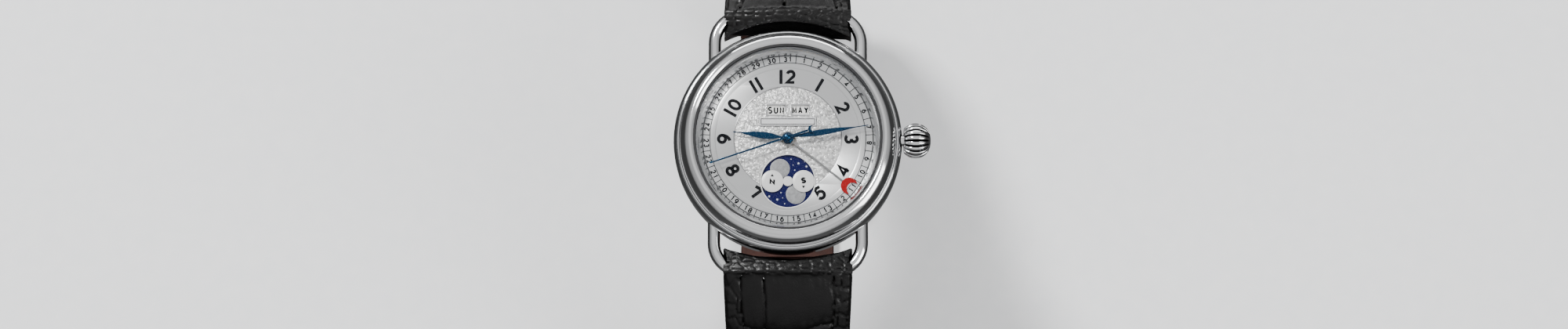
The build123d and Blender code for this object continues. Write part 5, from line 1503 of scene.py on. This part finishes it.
@dataclass
class StrapDress:
    """One half of the strap: leather with its relief, and its lining."""

    side: int
    length: float
    body: str
    end_name: str
    column_x: float
    seed: float
    route: StrapRoute = field(default_factory=StrapRoute)
    columns: int = 92
    step: float = 0.28
    hump_radius: float = 2.9
    nose_y: float = 18.2
    nose_centre: float = 21.3
    nose_arc: float = 25.6
    tunnel_radius: float = 1.8
    tip: float = 9.0
    tip_half: float = 2.6
    tip_power: float = 2.6
    tongue_y: float = 19.92
    tongue_half: float = 9.6
    lining_columns: int = 21
    lining_inset: float = 0.05
    lining_end: float = 68.4
    lining_step: float = 1.2
    holes: int = 7
    hole_radius: float = 0.95
    hole_pitch: float = 6.4
    last_hole: float = 22.0
    sleeve_radius: float = 1.45

    def nose_line(self, x: np.ndarray) -> np.ndarray:
        """The concave end's outward distance at places across."""
        return self.nose_centre - self.nose_arc + np.sqrt(self.nose_arc**2 - x**2)

    def half(self, s: float) -> float:
        """Half the leather's width, narrowed towards the lower strap's tip.

        Args:
            s: Distance along the strap.

        Returns:
            The half width.
        """
        share = max(0.0, (s - self.length + self.tip) / self.tip) if self.side < 0 else 0.0
        narrow = share**self.tip_power
        return self.route.width(s) / 2 * (1 - narrow) + self.tip_half * narrow

    def hump_line(self) -> list[Spot]:
        """The top line over the bar's hump, from the nose to the strap's start.

        Returns:
            Outward distance, height and a length below zero for the relief.
        """
        r, y0, z0 = self.hump_radius, self.route.hinge_y, self.route.wire_z
        nose = [(self.nose_y, z0 + 0.55), (19.4, z0 + 1.15), (20.6, z0 + 1.95)]
        line = arc(*nose, 14) + arc(nose[2], (y0 - r * 0.34, z0 + r * 0.92), (y0 + 0.05, z0 + r), 12)
        out, height, turn = self.route.at(self.side, 0.0)
        crown = self.route.crown_start
        after = (out + crown * math.sin(turn), height + crown * math.cos(turn))
        line += arc((y0 + 0.05, z0 + r), (y0 + 0.45, z0 + r * 0.995), after, 5)
        spots, below = [], 0.0
        for point in reversed(line):
            below -= math.dist(point, after)
            spots.append((*point, below))
            after = point
        return spots[::-1]

    def ring(self, top: np.ndarray, under: np.ndarray) -> np.ndarray:
        """A closed row round the leather, with slightly bulging sides.

        Args:
            top: Points on its upper face.
            under: Points on its inner face, as many.

        Returns:
            The row.
        """
        bulge = np.array([0.06, 0.0, 0.0])
        right = [under[-1] * (1 - share) + top[-1] * share + bulge for share in (0.85, 0.6, 0.3)]
        left = [under[0] * (1 - share) + top[0] * share - bulge for share in (0.3, 0.6, 0.85)]
        return np.concatenate([top, right, under[:: len(under) // 12][::-1], left])

    def hump_rows(self, bend: np.ndarray, scales: Scales) -> list[np.ndarray]:
        """The leather's rows over the bar.

        Args:
            bend: Places across, from -1 to 1.
            scales: The relief.

        Returns:
            Closed rows of points.
        """
        half = self.route.lug_width / 2
        x = bend * half
        limit = self.nose_line(x) + 0.03
        dome = (self.route.crown_start - self.route.edge_start) * bend**2
        start_y, start_z = self.route.start()
        rows = []
        for y, z, s in self.hump_line():
            rise = scales.relief(x, s, half) * np.clip((1 - np.abs(bend)) / 0.08, 0, 1)
            out = np.array([y - self.route.hinge_y + 0.4, z - self.route.wire_z])
            out /= np.hypot(*out)
            drop = dome * min(1.0, (z - self.route.wire_z) / self.hump_radius)
            top = row_of(x, self.side * np.maximum(y + rise * out[0], limit), z - drop + rise * out[1])
            under = row_of(x, self.side * np.maximum(min(y, start_y), limit), start_z)
            rows.append(self.ring(top, under))
        return rows

    def run_rows(self, bend: np.ndarray, scales: Scales) -> list[np.ndarray]:
        """The leather's rows from the bar to its end.

        Args:
            bend: Places across, from -1 to 1.
            scales: The relief.

        Returns:
            Closed rows of points.
        """
        count = int(self.length / self.step)
        rows = []
        for i in range(count + 1):
            s = self.length * i / count
            out, height, turn = self.route.at(self.side, s)
            edge, crown = self.route.heights(s)
            half = self.half(s)
            x = bend * half
            rise = crown - (crown - edge) * bend**2 - 0.45 * np.clip((np.abs(x) - half + 0.55) / 0.55, 0, 1) ** 2.2
            depth = (0.45 + 0.55 * min(1.0, rise.max() / 3)) * min(1.0, (self.length - s) / 2.0)
            rise += scales.relief(x, s, self.route.width(s) / 2) * depth
            top = row_of(x, self.side * (out + rise * math.sin(turn)), height + rise * math.cos(turn))
            rows.append(self.ring(top, row_of(x, self.side * out, height)))
        return rows

    def leather(self) -> Piece:
        """Shape the leather with its relief and the lug wire's tunnel.

        Returns:
            The piece.
        """
        u = np.linspace(-1, 1, self.columns)
        bend = np.sign(u) * np.abs(u) ** 0.9
        scales = Scales(self.column_x, self.seed)
        leather = skin(self.hump_rows(bend, scales) + self.run_rows(bend, scales))
        carve(leather, tube(CaseDress().wire_points(self.side), self.tunnel_radius), "MANIFOLD")
        return leather

    def lining(self) -> Piece:
        """Shape the lining: a thin sheet under the leather and its tongue to the case.

        Returns:
            The piece.
        """
        thick = self.route.lining
        end = self.length if self.side < 0 else self.lining_end
        u = np.linspace(-1, 1, self.lining_columns)
        start_y, start_z = self.route.start()
        rows = []
        for y in np.linspace(self.tongue_y, start_y, 8)[:-1]:
            x = u * self.tongue_half
            reach = self.side * np.maximum(y, np.sqrt(self.tongue_y**2 - x**2))
            low = row_of(x, reach, start_z - thick * 0.95)
            rows.append(np.concatenate([row_of(x, reach, start_z), low[::-1]]))
        count = int(end / self.lining_step)
        for i in range(count + 1):
            s = end * i / count
            out, height, turn = self.route.at(self.side, s)
            wider = self.half(s) - self.lining_inset - self.tongue_half
            x = u * (self.tongue_half + wider * min(s, 1.0))
            low = row_of(x * 0.985, self.side * (out - thick * math.sin(turn)), height - thick * math.cos(turn))
            rows.append(np.concatenate([row_of(x, self.side * out, height), low[::-1]]))
        return skin(rows)

    def cut_holes(self, piece: Piece) -> None:
        """Punch the buckle holes.

        Args:
            piece: The leather or the lining, in millimetres.
        """
        for hole in range(self.holes):
            place = self.route.plane(self.side, self.length - self.last_hole - hole * self.hole_pitch)
            carve(piece, peg(self.hole_radius, 9.0, place @ turned(90, "X")), "MANIFOLD")

    def cut_slot(self, piece: Piece) -> None:
        """Cut the tongue's slot at the buckle out of the leather or the lining."""
        carve(piece, block(2.5, 9.0, 10.4, self.route.plane(self.side, self.route.bar)), "MANIFOLD")

    def build(self) -> None:
        """Build the leather and the lining."""
        leather, lining = self.leather(), self.lining()
        for piece in (leather, lining):
            if self.side < 0:
                self.cut_holes(piece)
            else:
                self.cut_slot(piece)
        if self.side > 0:
            for ends in ((-9.0, -1.25), (1.25, 9.0)):
                sleeve = laid(tube([(x, 0, 0) for x in ends], self.sleeve_radius), self.route.bar_place())
                leather = join([leather, sleeve])
        hide, calf = "strap_" + self.end_name, "lining_" + self.end_name
        dress(leather, hide + "_hide", Look.BLACK, self.body, hide, smooth=60)
        dress(lining, calf + "_calf", Look.LINING, self.body, calf, smooth=40)


@dataclass
class BuckleDress:
    """The keepers and the pin buckle."""

    route: StrapRoute = field(default_factory=StrapRoute)
    keeper_width: float = 5.0
    wall: float = 1.1
    clear: float = 0.35
    inner_width: float = 18.8
    outer_width: float = 21.4
    reach: float = 14.6
    past_bar: float = 1.5
    front_bar: float = 1.7
    bar_half: float = 10.65
    bar_radius: float = 0.75

    def keepers(self) -> None:
        """The two leather loops."""
        low = -self.route.lining - self.clear
        high = self.route.keeper_reach - self.wall
        middle = (low + high) / 2
        for name, node, at, body in (
            ("sewn_keeper", "fixed_keeper", 67.4, "upper_strap"),
            ("loose_keeper", "free_keeper", 54.0, "sliding_keeper"),
        ):
            width = self.route.width(at) + 2 * self.clear
            outer = box_loop(width + 2 * self.wall, high - low + 2 * self.wall, 0, middle, 1.3)
            inner = box_loop(width, high - low, 0, middle, 0.25)
            obj = flat([outer, inner], -self.keeper_width / 2, self.keeper_width / 2, 0.28)
            dress(obj, name, Look.BLACK, body, node, place=self.route.plane(1, at), smooth=40)

    def rim(self, bar: Matrix) -> None:
        """The buckle's frame.

        Args:
            bar: The bar's place.
        """
        past, inside = self.past_bar, self.reach - self.front_bar
        outer = box_loop(self.outer_width, self.reach + past, 0, (past - self.reach) / 2, 1.3)
        inner = box_loop(self.inner_width, inside + 2 * past, 0, (2 * past - inside) / 2)
        border = flat([outer], -0.85, 0.85, 0.35)
        carve(border, flat([inner], -3.0, 3.0))
        place = bar @ turned(-90, "X") @ turned(180, "Y")
        dress(border, "buckle_bow", Look.STEEL, "buckle", "buckle_frame", place=place, smooth=40)

    def prong(self, bar: Matrix) -> None:
        """The buckle's tongue.

        Args:
            bar: The bar's place.
        """
        profile = [(-0.9, 1.05), (0.0, 1.35), (11.4, 1.86), (12.6, 1.8), (13.85, 1.45), (13.85, 0.9)]
        profile += [(11.4, 0.88), (11.0, 0.2), (10.2, -0.05), (2.0, -0.2)]
        profile += arc((1.0, -0.9), (0.0, -1.35), (-1.35, 0.0), 10) + [(-1.35, 0.0)]
        tongue = flat([profile, circle(0.82, count=32)], -0.85, 0.85, 0.2)
        tongue.data.flip_normals()
        side_on = Matrix(((0, 0, 1, 0), (0, 1, 0, 0), (1, 0, 0, 0), (0, 0, 0, 1)))
        dress(tongue, "buckle_prong", Look.STEEL, "tongue", "buckle_tongue", place=bar @ side_on, smooth=40)

    def build(self) -> None:
        """Build the keepers and the buckle."""
        self.keepers()
        bar = self.route.bar_place()
        self.rim(bar)
        pin = tube([(x, 0, 0) for x in (-self.bar_half, self.bar_half)], self.bar_radius)
        dress(pin, "buckle_pin", Look.SATIN, "upper_strap", "buckle_bar", place=bar, smooth=50)
        self.prong(bar)


# ---------------------------------------------------------------- the movement


@dataclass
class MovementDress:
    """Better surfaces for the movement, seen through the back."""

    finishes: dict[Look, tuple[str, ...]] = field(
        default_factory=lambda: {
            Look.RUBBER: ("back_gasket", "crown_gasket"),
            Look.SATIN: ("movement_ring", "case_clamps", "escape_wheel", "pallet_fork", "stem", "rotor_bearing"),
            Look.PLATE: ("main_plate", "calendar_plate"),
            Look.BLUED: ("movement_screws", "cannon_pinion", "hairspring"),
            Look.BRASS: (
                "hour_wheel", "fourth_wheel", "date_wheel", "barrel", "great_wheel", "third_wheel", "balance_wheel",
            ),
            Look.BRIDGE: ("barrel_bridge", "train_bridge", "balance_cock", "rotor"),
            Look.RUBY: ("jewels",),
        }
    )

    def build(self) -> None:
        """Give each carried-over CAD node its finish."""
        for look, nodes in self.finishes.items():
            for node in nodes:
                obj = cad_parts[node]
                obj.data.materials.clear()
                obj.data.materials.append(look.value.material())
                LOG.info("%s has its finish", node)


# ---------------------------------------------------------------- the studio


@dataclass
class Studio:
    """The camera at the photograph's angle, a pale floor and soft light."""

    lens: float = 60.0
    distance: float = 455.0
    tilt: float = 11.0
    target: Spot = (-0.67, -4.56, 7.2)
    floor_z: float = -52.55
    floor_size: float = 6.0

    def camera(self) -> None:
        """Place the camera on the 6 o'clock side of the dial's axis."""
        data = bpy.data.cameras.new("camera")
        data.lens = self.lens
        data.sensor_width = 36.0
        data.clip_start, data.clip_end = 0.01, 20.0
        obj = stand("camera", data)
        lean = math.radians(self.tilt)
        back = Vector((0, -math.sin(lean), math.cos(lean)))
        obj.location = (Vector(self.target) + back * self.distance) * MM
        obj.rotation_euler = (lean, 0, 0)
        bpy.context.scene.camera = obj

    def floor(self) -> None:
        """Lay a large pale floor."""
        bpy.ops.mesh.primitive_plane_add(size=self.floor_size, location=(0, 0, self.floor_z * MM))
        obj = bpy.context.object
        obj.name = "floor"
        board = NodeBoard(bpy.data.materials.new("pale_floor"))
        shader = board.add("BsdfPrincipled", in_Roughness=0.8)
        paper = board.noise(board.coords(), 300.0, 3.0)
        tint = board.tint(paper, "Fac", [(0.3, (0.74, 0.75, 0.76)), (0.7, (0.77, 0.775, 0.78))])
        board.join(tint, "Color", shader, "Base Color")
        obj.data.materials.append(board.finish(shader))
        obj.visible_glossy = False

    def lamp(self, name: str, place: Spot, size: Point, power: float) -> None:
        """Add a soft lamp aimed at the watch.

        Args:
            name: Its name.
            place: Where it stands, in metres.
            size: Its width and height.
            power: Watts.
        """
        data = bpy.data.lights.new(name, "AREA")
        data.shape = "RECTANGLE"
        data.size, data.size_y = size
        data.energy = power
        obj = stand(name, data)
        obj.location = place
        obj.rotation_euler = (-Vector(place)).to_track_quat("-Z", "Y").to_euler()

    def world(self) -> None:
        """Light from all round: bright above the dial, grey at the horizon, dimmer at the sides."""
        world = bpy.data.worlds.new("studio_light")
        bpy.context.scene.world = world
        board = NodeBoard(world, "OutputWorld")
        split = board.add("SeparateXYZ")
        board.join(board.add("TexCoord"), "Generated", split, 0)
        greys = [(0.0, 0.12), (0.12, 0.12), (0.27, 0.6), (0.5, 1.0), (0.72, 0.8), (0.9, 1.0), (1.0, 0.95)]
        ramp = board.tint(split, "Z", [(place, (grey, grey, grey * 1.01)) for place, grey in greys])
        aside = board.add("Math", operation="ABSOLUTE")
        board.join(split, "X", aside, 0)
        dimmed = board.add("VectorMath", operation="SCALE")
        board.join(ramp, "Color", dimmed, 0)
        board.join(board.spread(aside, 0, (1.0, 0.5), (0.3, 0.85)), "Result", dimmed, "Scale")
        back = board.add("Background", in_Strength=1.05)
        board.join(dimmed, 0, back, "Color")
        board.finish(back)

    def build(self) -> None:
        """Build the studio."""
        self.camera()
        self.floor()
        self.world()
        self.lamp("key", (-0.4, 0.42, 0.7), (0.16, 0.14), 12.0)
        self.lamp("fill", (0.55, -0.2, 0.5), (0.35, 0.5), 4.0)
        self.lamp("rim", (0.0, 0.8, 0.12), (0.8, 0.15), 3.0)


# ---------------------------------------------------------------- main


def main() -> None:
    """Build every part of the watch and the studio."""
    logging.basicConfig(level=logging.INFO, format="%(name)s: %(message)s")
    parts = {
        "studio": Studio(),
        "case": CaseDress(),
        "dial": DialDress(),
        "calendar": CalendarDress(),
        "hands": HandSet(),
        "movement": MovementDress(),
        "upper strap": StrapDress(1, 72.0, "upper_strap", "top", -0.7, 4.0),
        "lower strap": StrapDress(-1, 107.0, "lower_strap", "bottom", -4.1, 2.0),
        "buckle": BuckleDress(),
    }
    for name, part in parts.items():
        part.build()
        LOG.info("%s is built", name)


if __name__ == "__main__":
    main()
